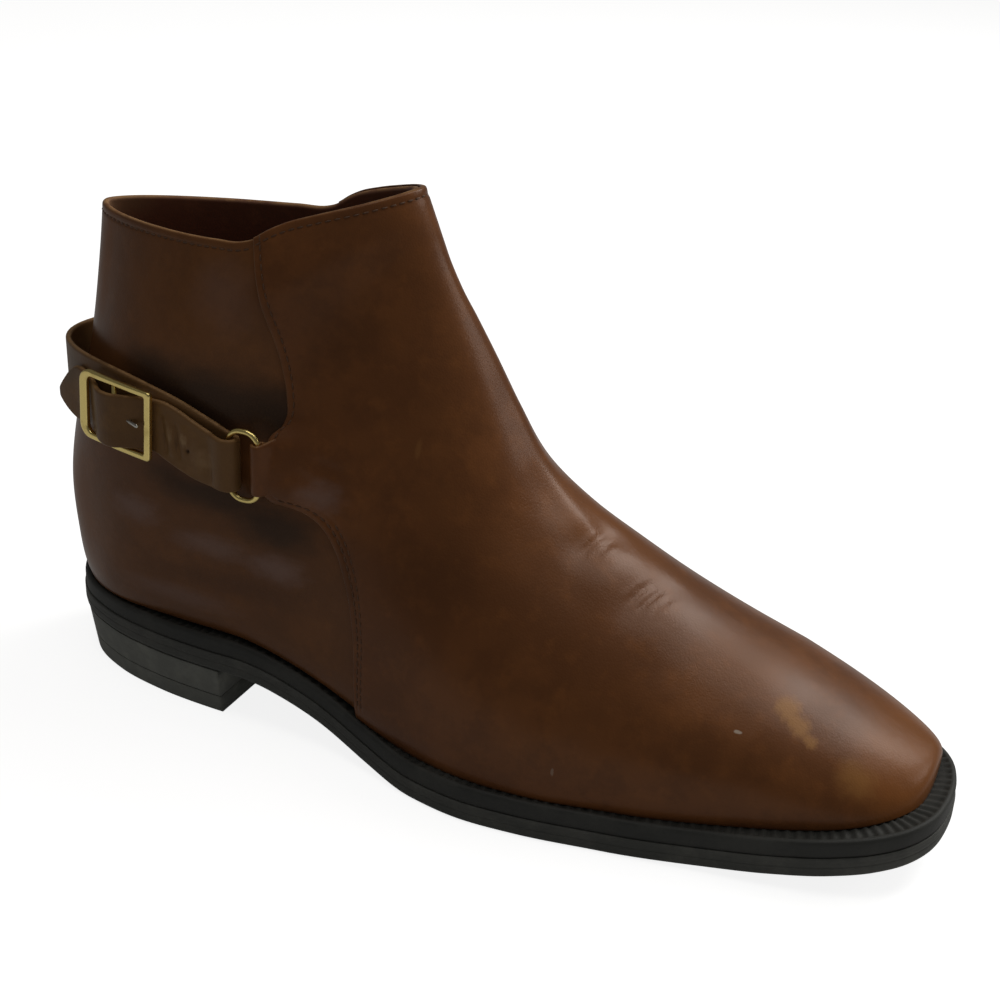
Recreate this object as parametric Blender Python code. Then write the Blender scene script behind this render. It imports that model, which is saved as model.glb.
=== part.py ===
"""Monk strap chukka boot for the right foot.

All lengths in the tables are millimetres, measured from the back of the outsole:
x runs to the toe, y to the inner side of the foot and z up from the floor.
The last step moves everything so that the origin is the middle of the bounding
box on the floor.
"""

import math
from collections import namedtuple

import bmesh
import bpy
import numpy as np
from mathutils import Vector
from mathutils.bvhtree import BVHTree

MM = 0.001

# Driving sizes
SOLE_LENGTH = 305.0
HEEL_SEAT = 29.6
SOLE_EDGE = 12.6
OUTSOLE_THICK = 6.6
TOP_PIECE_THICK = 6.2
TOE_SPRING = 11.5
BREAST_X = 75.0
TREAD_START = 153.0
TREAD_END = 215.0
GAP = 0.3
WALL = 2.2
VAMP_THICK = 1.4
TAB_WIDTH = 16.6
INSOLE_THICK = 3.0
INSOLE_GAP = 0.8
WELT_WIDTH = 16.0

# Strap, ring and buckle
STRAP_WIDTH = 20.0
STRAP_THICK = 1.8
RING_X = 88.0
RING_Z = 93.3
RING_LIFT = 4.0
RING_WIRE = 0.9
RING_HALF_WIDTH = 5.2
RING_HALF_HEIGHT = 11.3
BUCKLE_ALONG = 40.0
BUCKLE_Z = 101.2
BUCKLE_LIFT = 4.6
BUCKLE_HALF_LENGTH = 13.5
BUCKLE_HALF_HEIGHT = 10.25
BAR_HALF_WIDTH = 1.35
BAR_HALF_THICK = 1.0
CENTRE_BAR = 0.8
PRONG = 0.7
RING_CORNER = 4.6
BUCKLE_BACK_CORNER = 4.4
BUCKLE_FRONT_CORNER = 1.7

# Prong: how far in front of the centre bar and over the frame its foot and its tip lie
PRONG_FOOT_AHEAD = 1.9
PRONG_FOOT_OVER = 0.1
PRONG_TIP_AHEAD = 11.4
PRONG_TIP_OVER = 2.1

# Heel: how far its sides lie inside the outsole's edge, from the seat down to the floor
HEEL_SEAT_INSET = 0.6
HEEL_TAPER = 2.4
HEEL_CHAMFER = 0.6

# Resolution of the form; the smallest rings at the nose have no inner wall
SECTIONS = 34
AROUND = 32
NOSE_RINGS = 2

# Sections of the foot form, from the toe back over the heel and up the shaft.
# Each lies in a plane across the foot from a low point to a point on the ridge.
Section = namedtuple(
    "Section",
    "low_x low_z top_x top_z centre_y lateral medial ridge_y wide low_round top_round",
)
FORM = [
    Section(250, 2, 250, 47.2, 3.5, 39.7, 37.2, 4.0, 0.45, 3.0, 2.15),
    Section(232, 0, 232, 54.0, 2.0, 42.5, 40.5, 4.3, 0.42, 3.0, 2.05),
    Section(212, -2, 214, 62.7, 1.0, 45.5, 42.0, 4.5, 0.38, 3.0, 1.95),
    Section(190, -3, 196, 73.0, 0.0, 48.5, 41.0, 4.5, 0.35, 3.3, 1.9),
    Section(165, 0, 180, 83.0, 0.0, 49.0, 38.0, 4.5, 0.34, 4.2, 1.85),
    Section(138, 6, 166, 95.3, 0.0, 44.5, 35.0, 4.0, 0.36, 5.0, 1.8),
    Section(108, 13, 156, 110.5, 0.0, 40.0, 34.0, 3.5, 0.38, 4.6, 1.8),
    Section(78, 16, 148.2, 124.5, 0.0, 39.0, 35.0, 3.0, 0.38, 3.7, 1.8),
    Section(48, 16, 141.5, 136.0, 0.0, 38.5, 36.0, 2.5, 0.38, 3.5, 1.8),
    Section(19, 18, 136.3, 145.0, 0.0, 38.0, 36.0, 2.0, 0.38, 3.0, 1.75),
    Section(6.3, 27, 132.4, 152.5, 0.0, 37.5, 36.0, 2.0, 0.38, 2.45, 1.75),
    Section(2.3, 42, 129.8, 158.7, 0.0, 36.5, 35.5, 2.0, 0.40, 2.4, 1.75),
    Section(0.5, 60, 127.9, 164.0, 0.0, 35.0, 34.5, 1.5, 0.44, 2.45, 1.75),
    Section(3.2, 82, 126.1, 169.0, 0.0, 33.0, 33.0, 1.0, 0.48, 2.5, 1.75),
    Section(8, 108, 124.2, 174.0, 0.0, 29.5, 29.5, 1.0, 0.50, 2.2, 1.75),
    Section(10.7, 134, 122.2, 180.0, 0.0, 25.0, 25.0, 1.0, 0.52, 1.95, 1.75),
    Section(12.6, 158, 120.0, 187.0, 0.0, 21.5, 21.5, 1.0, 0.54, 1.75, 1.75),
    Section(13.6, 180, 117.8, 196.0, 0.0, 20.0, 20.0, 1.0, 0.54, 1.7, 1.75),
]
TOE_START = 250.0
TOE_END = 297.0
NOSE_Z = 27.0
TOE_OUTER_ROUND = 3.8
TOE_INNER_ROUND = 2.8
TOE_TOP_ROUND = 4.0

# Plan of the outsole, closed, outer side first
OUTSOLE_PLAN = [
    (0.0, 0.0), (3.5, -13.0), (12.5, -24.0), (28.0, -32.5), (48.0, -37.5), (70.0, -39.5),
    (95.0, -39.3), (115.0, -40.5), (133.0, -45.0), (150.0, -50.5), (168.0, -53.8),
    (187.0, -53.0), (213.0, -48.8), (242.0, -43.8), (262.0, -40.8), (278.0, -37.2),
    (289.5, -32.5), (297.5, -26.5), (302.7, -18.5), (305.0, -8.0), (305.0, 3.5),
    (302.0, 15.0), (295.5, 25.1), (285.6, 33.4), (272.3, 39.9), (256.0, 44.8),
    (238.0, 48.0), (215.0, 50.0), (195.0, 48.5), (170.0, 43.0), (145.0, 36.5),
    (120.0, 33.0), (95.0, 33.8), (70.0, 36.5), (48.0, 36.0), (28.0, 31.5),
    (12.5, 23.5), (3.5, 13.0),
]
# Row of the plan just before the middle of the toe
PLAN_TOE = 19

# Top edge of the upper from the back to beyond the front fold, side view
TOPLINE = [
    (-40.0, 156.5), (16.0, 156.5), (45.0, 156.8), (70.0, 157.5), (80.0, 158.2), (84.0, 159.6),
    (88.0, 162.2), (93.0, 164.8), (101.0, 167.6), (111.0, 170.6), (122.0, 174.0), (160.0, 185.0),
]

# Rear edge of the vamp from the collar down to the sole, side view
VAMP_EDGE = [
    (84.0, 158.5), (86.5, 147.0), (89.0, 139.0), (92.3, 131.0), (95.3, 122.0), (97.2, 114.0),
    (97.8, 108.5), (97.0, 105.0), (95.0, 103.0), (94.0, 99.0), (94.0, 86.0), (96.0, 82.5),
    (101.0, 81.6), (107.0, 80.4), (113.0, 77.2), (118.0, 71.3), (121.7, 63.5), (124.4, 55.0),
    (126.6, 43.0), (127.4, 28.0),
]

# Tab of the vamp before it reaches the ring: distance from the ring's middle, rise over the
# heel contour, lean outwards and width
Tab = namedtuple("Tab", "along rise lean wide")
TAB_RAMP = [
    Tab(-23.0, -2.3, 0.24, 19.5), Tab(-18.0, -0.7, 0.22, 19.0),
    Tab(-13.0, 2.0, 0.12, 18.4), Tab(-8.6, 5.3, 0.04, 17.2),
]

# Edge of the sole, bottom first: how far in and how far up each point lies
Edge = namedtuple("Edge", "inset up")
OUTSOLE_EDGE = [
    Edge(1.0, 0.0), Edge(0.2, 1.0), Edge(0.0, 3.0), Edge(0.35, 3.4),
    Edge(0.35, 3.9), Edge(0.0, 4.3), Edge(0.0, 6.0), Edge(0.5, OUTSOLE_THICK),
]
WELT_LOW = OUTSOLE_THICK + GAP
WELT_HIGH = SOLE_EDGE - GAP
WELT_EDGE = [
    Edge(WELT_WIDTH, WELT_LOW), Edge(0.9, WELT_LOW), Edge(0.4, WELT_LOW + 0.8),
    Edge(0.4, WELT_HIGH - 1.2), Edge(1.4, WELT_HIGH), Edge(WELT_WIDTH, WELT_HIGH),
]

# Lift of the strap off the quarter, height of its middle and share of its width,
# by length from the ring
Strap = namedtuple("Strap", "along lift height share")
STRAP_ROUTE = [
    Strap(0, 0.4, 93.3, 0.86), Strap(8, 0.4, 95.0, 0.94), Strap(20, 0.5, 98.5, 1.0),
    Strap(41, 0.5, 103.0, 1.0), Strap(58, 0.0, 104.0, 1.0), Strap(72, -0.6, 104.3, 1.0),
    Strap(88, -1.0, 104.0, 1.0), Strap(104, -0.9, 103.2, 1.0), Strap(122, -0.3, 101.5, 1.0),
    Strap(148, 0.6, 98.5, 1.0), Strap(172, 1.2, 96.0, 1.0), Strap(190, 2.0, 94.5, 1.0),
    Strap(222, 2.3, 93.0, 1.0),
]
STRAP_END = 220.0

# Route of the folded end in the buckle's own frame: back, out, height and share of the width
Fold = namedtuple("Fold", "back out height share")
STRAP_FOLD = [
    Fold(-34.0, 0.2, 93.8, 0.91), Fold(-29.0, 0.5, 95.0, 0.97), Fold(-23.0, 1.1, 97.2, 1.0),
    Fold(-18.0, 1.7, 99.0, 0.95), Fold(-13.5, 2.1, 100.1, 0.85), Fold(-7.0, 4.4, 100.7, 0.85),
    Fold(0.0, 6.6, 101.2, 0.85), Fold(7.0, 4.4, 101.6, 0.85), Fold(13.5, 1.9, 102.0, 0.85),
    Fold(17.5, 0.9, 102.1, 0.92), Fold(20.5, -0.1, 102.0, 0.92), Fold(23.5, -1.1, 101.8, 0.78),
    Fold(26.0, -2.0, 101.6, 0.52), Fold(27.8, -2.8, 101.4, 0.28), Fold(28.8, -3.3, 101.3, 0.1),
]
STRAP_SLOPE = 0.07

# Heights at which the heel contour is felt, and the place inside the heel it is felt from
CONTOUR_HEIGHTS = (83.0, 90.0, 97.0, 104.0)
CONTOUR_AXIS = 55.0
CONTOUR_HALF_OPENING = 31.0


def smoothstep(value):
    """Ease from 0 to 1."""
    value = min(max(value, 0.0), 1.0)
    return value * value * (3.0 - 2.0 * value)


def sole_bottom(x):
    """Height of the outsole's underside: heel seat, waist, tread and toe spring."""
    waist = smoothstep((TREAD_START - x) / (TREAD_START - BREAST_X - 3.0))
    spring = max(0.0, (x - TREAD_END) / (SOLE_LENGTH - TREAD_END))
    return (HEEL_SEAT - SOLE_EDGE) * waist + TOE_SPRING * spring ** 1.7


def feather(x):
    """Height of the line where the upper meets the welt."""
    return sole_bottom(x) + SOLE_EDGE


def hermite(knots, values, at):
    """Smooth curve through rows of values, read at a knot position."""
    knots = np.asarray(knots, float)
    values = np.asarray(values, float)
    slopes = np.gradient(values, knots, axis=0)
    place = int(np.clip(np.searchsorted(knots, at) - 1, 0, len(knots) - 2))
    span = knots[place + 1] - knots[place]
    t = (at - knots[place]) / span
    a = (1 + 2 * t) * (1 - t) ** 2 * values[place] + t * t * (3 - 2 * t) * values[place + 1]
    return a + span * (t * (1 - t) ** 2 * slopes[place] - t * t * (1 - t) * slopes[place + 1])


def form_sections():
    """Rows of the foot form at even steps, with the toe rounded off."""
    rows = np.array(FORM, float)
    steps = np.hypot(np.diff(rows[:, 0] + rows[:, 2]), np.diff(rows[:, 1] + rows[:, 3]))
    knots = np.concatenate([[0.0], np.cumsum(steps)])
    toe = []
    for share in (0.99995, 0.995, 0.975, 0.93, 0.86, 0.76, 0.62, 0.45, 0.25):
        row = rows[0] + (rows[0] - rows[1]) / (rows[0][0] - rows[1][0]) * share * (TOE_END - TOE_START)
        outer = (1 - share ** TOE_OUTER_ROUND) ** (1 / TOE_OUTER_ROUND)
        inner = (1 - share ** TOE_INNER_ROUND) ** (1 / TOE_INNER_ROUND)
        rise = (1 - share ** TOE_TOP_ROUND) ** (1 / TOE_TOP_ROUND)
        row[1] = NOSE_Z + (rows[0][1] - NOSE_Z) * rise
        row[3] = NOSE_Z + (row[3] - NOSE_Z) * rise
        row[8:] = rows[0][8:]
        row[5] *= outer
        row[6] *= inner
        row[7] = row[4] + (row[7] - row[4]) * inner
        toe.append(row)
    body = [hermite(knots, rows, at) for at in np.linspace(0, knots[-1], SECTIONS)]
    return toe + body


def section_ring(row):
    """Points round one section, from the low point up the inner side and back."""
    row = Section(*row)
    ring = []
    for index in range(AROUND):
        turn = 2 * math.pi * index / AROUND - math.pi / 2
        side = 1 if math.cos(turn) >= 0 else -1
        half = row.medial if side > 0 else row.lateral
        up = math.sin(turn)
        across = abs(math.cos(turn))
        if up < 0:
            rise = row.wide * (1 - (-up) ** (2 / row.low_round))
            out = across ** (2 / row.low_round)
        else:
            rise = row.wide + (1 - row.wide) * up ** (2 / row.top_round)
            out = across ** (2 / row.top_round)
        y = row.centre_y + side * half * out + (row.ridge_y - row.centre_y) * rise ** 2
        x = row.low_x + (row.top_x - row.low_x) * rise
        z = row.low_z + (row.top_z - row.low_z) * rise
        ring.append((x, y, z))
    return ring


def form_grid(grow):
    """Grid of the foot form, moved out along its own normals by grow."""
    grid = np.array([section_ring(row) for row in form_sections()])
    along = np.gradient(grid, axis=0)
    round_it = np.roll(grid, -1, axis=1) - np.roll(grid, 1, axis=1)
    normal = np.cross(along, round_it)
    normal[0] = (1.0, 0.0, 0.0)
    length = np.linalg.norm(normal, axis=2, keepdims=True)
    first = NOSE_RINGS if grow < 0 else 0
    return (grid + normal / np.maximum(length, 1e-9) * grow)[first:]


def new_object(name, points, faces):
    """Mesh object from points in millimetres."""
    mesh = bpy.data.meshes.new(name)
    mesh.from_pydata([Vector(p) * MM for p in points], [], faces)
    work = bmesh.new()
    work.from_mesh(mesh)
    bmesh.ops.recalc_face_normals(work, faces=work.faces)
    work.to_mesh(mesh)
    work.free()
    item = bpy.data.objects.new(name, mesh)
    bpy.context.collection.objects.link(item)
    return item


def tube(name, grid, closed_ends=True):
    """Closed body from a grid of rings."""
    rows = len(grid)
    count = len(grid[0])
    points = [tuple(p) for ring in grid for p in ring]
    faces = []
    for i in range(rows - 1):
        for j in range(count):
            k = (j + 1) % count
            faces.append((i * count + j, i * count + k, (i + 1) * count + k, (i + 1) * count + j))
    if closed_ends:
        faces.append(tuple(range(count)))
        faces.append(tuple(range((rows - 1) * count, rows * count)))
    else:
        for j in range(count):
            k = (j + 1) % count
            last = (rows - 1) * count
            faces.append((last + j, last + k, k, j))
    return new_object(name, points, faces)


def prism(name, outline, half_width=200.0):
    """Side view outline drawn out across the foot."""
    count = len(outline)
    points = [(x, -half_width, z) for x, z in outline] + [(x, half_width, z) for x, z in outline]
    faces = [tuple(range(count)), tuple(range(2 * count - 1, count - 1, -1))]
    for i in range(count):
        k = (i + 1) % count
        faces.append((i, count + i, count + k, k))
    return new_object(name, points, faces)


def combine(target, tool, operation):
    """Boolean of two bodies, worked out at once, leaving only the target."""
    modifier = target.modifiers.new(operation.lower(), "BOOLEAN")
    modifier.operation = operation
    modifier.solver = "EXACT"
    modifier.object = tool
    depsgraph = bpy.context.evaluated_depsgraph_get()
    mesh = bpy.data.meshes.new_from_object(target.evaluated_get(depsgraph))
    target.modifiers.clear()
    old = target.data
    target.data = mesh
    bpy.data.meshes.remove(old)
    used = tool.data
    bpy.data.objects.remove(tool)
    bpy.data.meshes.remove(used)
    return target


def sole_stations():
    """Positions along the foot where the sole's curves are sampled."""
    waist = np.linspace(BREAST_X + 3, TREAD_START, 11)
    toe = np.linspace(TREAD_END, 340, 12)
    return np.concatenate([[-40.0], waist, toe])


def above_feather(lift):
    """Side view line at a set height over the feather line, heel to toe."""
    return [(x, feather(x) + lift) for x in sole_stations()]


def make_upper():
    """Quarters and lining: one hollow wall, open at the collar and below."""
    upper = tube("upper", form_grid(0.0))
    combine(upper, tube("upper_inside", form_grid(-WALL)), "DIFFERENCE")
    outline = above_feather(0.0) + [(340.0, 185.0)] + TOPLINE[::-1]
    return combine(upper, prism("upper_outline", outline), "INTERSECT")


def make_insole():
    """Board closing the bottom of the upper inside."""
    insole = tube("insole", form_grid(-WALL - INSOLE_GAP))
    outline = above_feather(0.0) + above_feather(INSOLE_THICK)[::-1]
    return combine(insole, prism("insole_outline", outline), "INTERSECT")


def sweep(name, centres, wide_axes, thick_axes, wides, thicks):
    """Rectangular band along a line of centres."""
    grid = []
    for centre, wide_axis, thick_axis, wide, thick in zip(centres, wide_axes, thick_axes, wides, thicks):
        a = Vector(wide_axis) * wide / 2
        b = Vector(thick_axis) * thick / 2
        centre = Vector(centre)
        grid.append([centre - a - b, centre + a - b, centre + a + b, centre - a + b])
    return tube(name, grid)


def plan_curve(inset, per_side=44):
    """Outsole plan moved in by inset: outer side and inner side from heel to toe."""
    reach = 3
    padded = np.array(OUTSOLE_PLAN[-reach:] + OUTSOLE_PLAN + OUTSOLE_PLAN[:reach + 1])
    steps = np.concatenate([[0.0], np.cumsum(np.hypot(*np.diff(padded, axis=0).T))])
    heel = steps[reach]
    toe = (steps[reach + PLAN_TOE] + steps[reach + PLAN_TOE + 1]) / 2
    round_again = steps[reach + len(OUTSOLE_PLAN)]
    sides = []
    for first in (heel, round_again):
        side = []
        for at in np.linspace(first, toe, per_side):
            here = hermite(steps, padded, at)
            ahead = hermite(steps, padded, at + 0.2)
            behind = hermite(steps, padded, at - 0.2)
            run = (ahead - behind) / np.linalg.norm(ahead - behind)
            side.append(here + inset * np.array([-run[1], run[0]]))
        sides.append(side)
    return sides


def plate(name, layers):
    """Closed plate from layers of (inset, height function), bottom first."""
    grid = []
    for inset, height in layers:
        outer, inner = plan_curve(inset)
        ring = outer + inner[-2:0:-1]
        grid.append([(x, y, height(x)) for x, y in ring])
    count = len(grid[0])
    half = count // 2
    points = [tuple(p) for ring in grid for p in ring]
    faces = []
    for i in range(len(grid) - 1):
        for j in range(count):
            k = (j + 1) % count
            faces.append((i * count + j, i * count + k, (i + 1) * count + k, (i + 1) * count + j))
    for base in (0, (len(grid) - 1) * count):
        faces.append((base, base + 1, base + count - 1))
        for j in range(1, half - 1):
            faces.append((base + j, base + j + 1, base + count - j - 1, base + count - j))
        faces.append((base + half - 1, base + half, base + half + 1))
    return new_object(name, points, faces)


def make_outsole():
    """Full outsole with a groove round its edge."""
    return plate("outsole", [(inset, lambda x, up=up: sole_bottom(x) + up) for inset, up in OUTSOLE_EDGE])


def make_welt():
    """Strip round the foot on top of the outsole."""
    grid = []
    for inset, up in WELT_EDGE:
        outer, inner = plan_curve(inset)
        grid.append([(x, y, sole_bottom(x) + up) for x, y in outer + inner[-2:0:-1]])
    return tube("welt", grid, closed_ends=False)


def heel_inset(height):
    """How far the heel's side lies inside the outsole's edge at a height."""
    return HEEL_SEAT_INSET + HEEL_TAPER * (1 - height / (HEEL_SEAT - SOLE_EDGE))


def heel_layer(name, low, high):
    """One layer of the heel, tapered to the floor and cut off at the breast."""
    over = low + HEEL_CHAMFER
    layer = plate(name, [
        (heel_inset(low) + HEEL_CHAMFER, lambda x: low),
        (heel_inset(over), lambda x: over),
        (heel_inset(high), lambda x: high),
    ])
    outline = [(-60.0, -20.0), (BREAST_X, -20.0), (BREAST_X, 60.0), (-60.0, 60.0)]
    return combine(layer, prism(name + "_breast", outline), "INTERSECT")


def rounded_path(half_length, half_height, radii, steps=5):
    """Closed rounded rectangle; radii from the back top corner round to the back bottom."""
    corners = [(1, 1), (-1, 1), (-1, -1), (1, -1)]
    path = []
    for number, ((sx, sy), radius) in enumerate(zip(corners, radii)):
        start = 90 * number
        for step in range(steps + 1):
            angle = math.radians(start + 90 * step / steps)
            x = sx * (half_length - radius) + radius * math.cos(angle)
            y = sy * (half_height - radius) + radius * math.sin(angle)
            path.append((x, y))
    return path


def loop(name, path, site, lift, half_across, half_thick, sides):
    """Closed bar along a flat path in a local frame, with an oval cross-section."""
    place, back, up, out = site
    grid = []
    count = len(path)
    for i in range(count):
        before = Vector(path[i - 1])
        after = Vector(path[(i + 1) % count])
        run = (after - before).normalized()
        away = back * run.y - up * run.x
        centre = place + back * path[i][0] + up * path[i][1] + out * lift
        ring = []
        for j in range(sides):
            angle = 2 * math.pi * (j + 0.5) / sides
            ring.append(centre + away * half_across * math.cos(angle) + out * half_thick * math.sin(angle))
        grid.append(ring)
    return tube(name, grid, closed_ends=False)


def rod(name, start, end, radius, sides=10):
    """Straight round bar."""
    run = (end - start).normalized()
    a = run.orthogonal().normalized()
    b = run.cross(a)
    grid = []
    for centre in (start, end):
        angles = [2 * math.pi * j / sides for j in range(sides)]
        grid.append([centre + (a * math.cos(g) + b * math.sin(g)) * radius for g in angles])
    return tube(name, grid)


def remove(item):
    """Take a helper body away again."""
    used = item.data
    bpy.data.objects.remove(item)
    bpy.data.meshes.remove(used)


def heel_contour():
    """Line the strap follows round the heel in plan, and lengths from the ring's rear bar."""
    form = tube("contour_form", form_grid(0.0))
    tree = BVHTree.FromObject(form, bpy.context.evaluated_depsgraph_get())
    line = []
    for turn in np.linspace(-CONTOUR_HALF_OPENING, CONTOUR_HALF_OPENING - 360, 280):
        angle = math.radians(turn)
        run = Vector((math.cos(angle), math.sin(angle), 0))
        reach = 0.0
        for height in CONTOUR_HEIGHTS:
            start = Vector((CONTOUR_AXIS, 0, height))
            hit = tree.ray_cast(start * MM, run)[0]
            reach = max(reach, (hit / MM - start).length)
        line.append((CONTOUR_AXIS + reach * run.x, reach * run.y))
    remove(form)
    line = np.array(line)
    for _ in range(6):
        line[1:-1] = (line[:-2] + 2 * line[1:-1] + line[2:]) / 4
    length = np.concatenate([[0.0], np.cumsum(np.hypot(*np.diff(line, axis=0).T))])
    start = np.interp(RING_HALF_WIDTH - RING_X, -line[:60, 0], length[:60])
    return line, length - start


def contour_frame(contour, along, height):
    """Place, back, up and out on the heel contour at a length and height."""
    line, length = contour
    x, y = [float(np.interp(along, length, line[:, k])) for k in (0, 1)]
    ahead = np.array([np.interp(along + 3, length, line[:, k]) for k in (0, 1)])
    behind = np.array([np.interp(along - 3, length, line[:, k]) for k in (0, 1)])
    run = (ahead - behind) / np.linalg.norm(ahead - behind)
    back = Vector((run[0], run[1], 0))
    return Vector((x, y, height)), back, Vector((0, 0, 1)), Vector((-run[1], run[0], 0))


def route_normals(points, back, out):
    """Outward normals of a flat route given as (back, out) points."""
    normals = []
    for i in range(len(points)):
        before = points[max(i - 1, 0)]
        after = points[min(i + 1, len(points) - 1)]
        slope = Vector((after[0] - before[0], after[1] - before[1])).normalized()
        normals.append(out * slope.x - back * slope.y)
    return normals


def make_vamp(contour, site):
    """Front panel over the quarters, with the tab folded round the ring."""
    vamp = tube("vamp", form_grid(GAP + VAMP_THICK))
    combine(vamp, tube("vamp_inside", form_grid(GAP)), "DIFFERENCE")
    collar = [point for point in TOPLINE if point[0] > 86.0]
    sole = [(x, z) for x, z in above_feather(0.0) if x > 128.0]
    outline = VAMP_EDGE + [(127.6, feather(127.6))] + sole + [(340.0, 185.0)] + collar[::-1]
    combine(vamp, prism("vamp_outline", outline), "INTERSECT")
    place, back, up, out = site
    reach = RING_WIRE + GAP + VAMP_THICK / 2
    path = []
    leans = []
    wides = []
    for t, rise, lean, wide in TAB_RAMP:
        start = contour_frame(contour, t - RING_HALF_WIDTH, RING_Z)[0] - place
        path.append((start.dot(back), start.dot(out) + rise))
        leans.append((up - out * lean).normalized())
        wides.append(wide)
    for turn in np.linspace(90, -90, 9):
        angle = math.radians(turn)
        path.append((-RING_HALF_WIDTH + reach * math.cos(angle), RING_LIFT + reach * math.sin(angle)))
    path.append((-RING_HALF_WIDTH - 2.0, RING_LIFT - reach))
    centres = [place + back * t + out * n for t, n in path]
    count = len(path)
    normals = route_normals(path, back, out)
    leans += [up] * (count - len(leans))
    wides += [TAB_WIDTH] * (count - len(wides))
    tab = sweep("vamp_tab", centres, leans, normals, wides, [VAMP_THICK] * count)
    combine(tab, tube("tab_inside", form_grid(GAP + VAMP_THICK / 2)), "DIFFERENCE")
    return combine(vamp, tab, "UNION")


def make_ring(site):
    """Brass loop between the vamp's tab and the strap."""
    path = rounded_path(RING_HALF_WIDTH, RING_HALF_HEIGHT, [RING_CORNER] * 4)
    return loop("ring", path, site, RING_LIFT, RING_WIRE, RING_WIRE, 8)


def buckle_site(contour):
    """Frame of the buckle, turned with the slope of the strap."""
    place, back, up, out = contour_frame(contour, BUCKLE_ALONG, BUCKLE_Z)
    return place, (back + up * STRAP_SLOPE).normalized(), (up - back * STRAP_SLOPE).normalized(), out


def prong_ends(site, more=0.0):
    """Ends of the prong, from beside the centre bar to the front bar."""
    place, back, _, out = site
    start = place + out * (BUCKLE_LIFT + PRONG_FOOT_OVER) - back * PRONG_FOOT_AHEAD
    end = place + out * (BUCKLE_LIFT + PRONG_TIP_OVER) - back * PRONG_TIP_AHEAD
    run = (end - start).normalized() * more
    return start - run, end + run


def make_buckle(site):
    """Frame with a centre bar, and the prong that stands through the strap."""
    corners = (BUCKLE_BACK_CORNER, BUCKLE_FRONT_CORNER, BUCKLE_FRONT_CORNER, BUCKLE_BACK_CORNER)
    path = rounded_path(BUCKLE_HALF_LENGTH, BUCKLE_HALF_HEIGHT, corners)
    frame = loop("buckle_frame", path, site, BUCKLE_LIFT, BAR_HALF_WIDTH, BAR_HALF_THICK, 8)
    place, back, up, out = site
    middle = place + out * BUCKLE_LIFT
    bar = rod("centre_bar", middle - up * BUCKLE_HALF_HEIGHT, middle + up * BUCKLE_HALF_HEIGHT, CENTRE_BAR)
    combine(frame, bar, "UNION")
    rod("buckle_prong", *prong_ends(site), PRONG)


def make_strap(contour, ring_site, site):
    """One strap: from the inner side round the heel, through the ring and back to the buckle."""
    centres = []
    outs = []
    shares = []
    rows = np.array(STRAP_ROUTE, float)
    for along in np.linspace(STRAP_END, 0.0, 46):
        lift, height, share = hermite(rows[:, 0], rows[:, 1:], along)
        place, _, _, out = contour_frame(contour, along, height)
        centres.append(place + out * (lift + STRAP_THICK / 2))
        outs.append(out)
        shares.append(share)
    place, back, up, out = ring_site
    leg = place + back * RING_HALF_WIDTH + out * RING_LIFT
    radius = RING_LIFT - rows[0][1] - STRAP_THICK / 2
    for turn in np.linspace(-67.5, 90.0, 8):
        angle = math.radians(turn)
        away = out * math.sin(angle) - back * math.cos(angle)
        centres.append(leg + away * radius)
        outs.append(-away)
        shares.append(rows[0][3])
    place, back, up, out = contour_frame(contour, BUCKLE_ALONG, 0.0)
    points = np.array(STRAP_FOLD, float)
    fine = [hermite(points[:, 0], points, t) for t in np.linspace(points[0][0], points[9][0], 24)]
    fine += list(points[10:])
    normals = route_normals([(row[0], row[1]) for row in fine], back, out)
    for (t, n, height, share), normal in zip(fine, normals):
        centres.append(place + back * t + out * n + up * height)
        outs.append(-normal)
        shares.append(share)
    wides = [STRAP_WIDTH * share for share in shares]
    count = len(centres)
    strap = sweep("strap", centres, [up] * count, outs, wides, [STRAP_THICK] * count)
    return combine(strap, rod("prong_hole", *prong_ends(site, 2.0), PRONG + GAP), "DIFFERENCE")


def paint(name, colour, metal, rough):
    """Give a piece its own material."""
    material = bpy.data.materials.new(name)
    material.use_nodes = True
    shader = material.node_tree.nodes["Principled BSDF"]
    shader.inputs["Base Color"].default_value = (*colour, 1.0)
    shader.inputs["Metallic"].default_value = metal
    shader.inputs["Roughness"].default_value = rough
    mesh = bpy.data.objects[name].data
    mesh.materials.clear()
    mesh.materials.append(material)


def centre_on_floor():
    """Move every piece so that the origin is the middle of the box on the floor."""
    pieces = [item.data for item in bpy.data.objects]
    points = np.array([vertex.co for mesh in pieces for vertex in mesh.vertices])
    low = points.min(axis=0)
    high = points.max(axis=0)
    move = Vector((-(low[0] + high[0]) / 2, -(low[1] + high[1]) / 2, -low[2]))
    for mesh in pieces:
        for vertex in mesh.vertices:
            vertex.co += move


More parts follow.
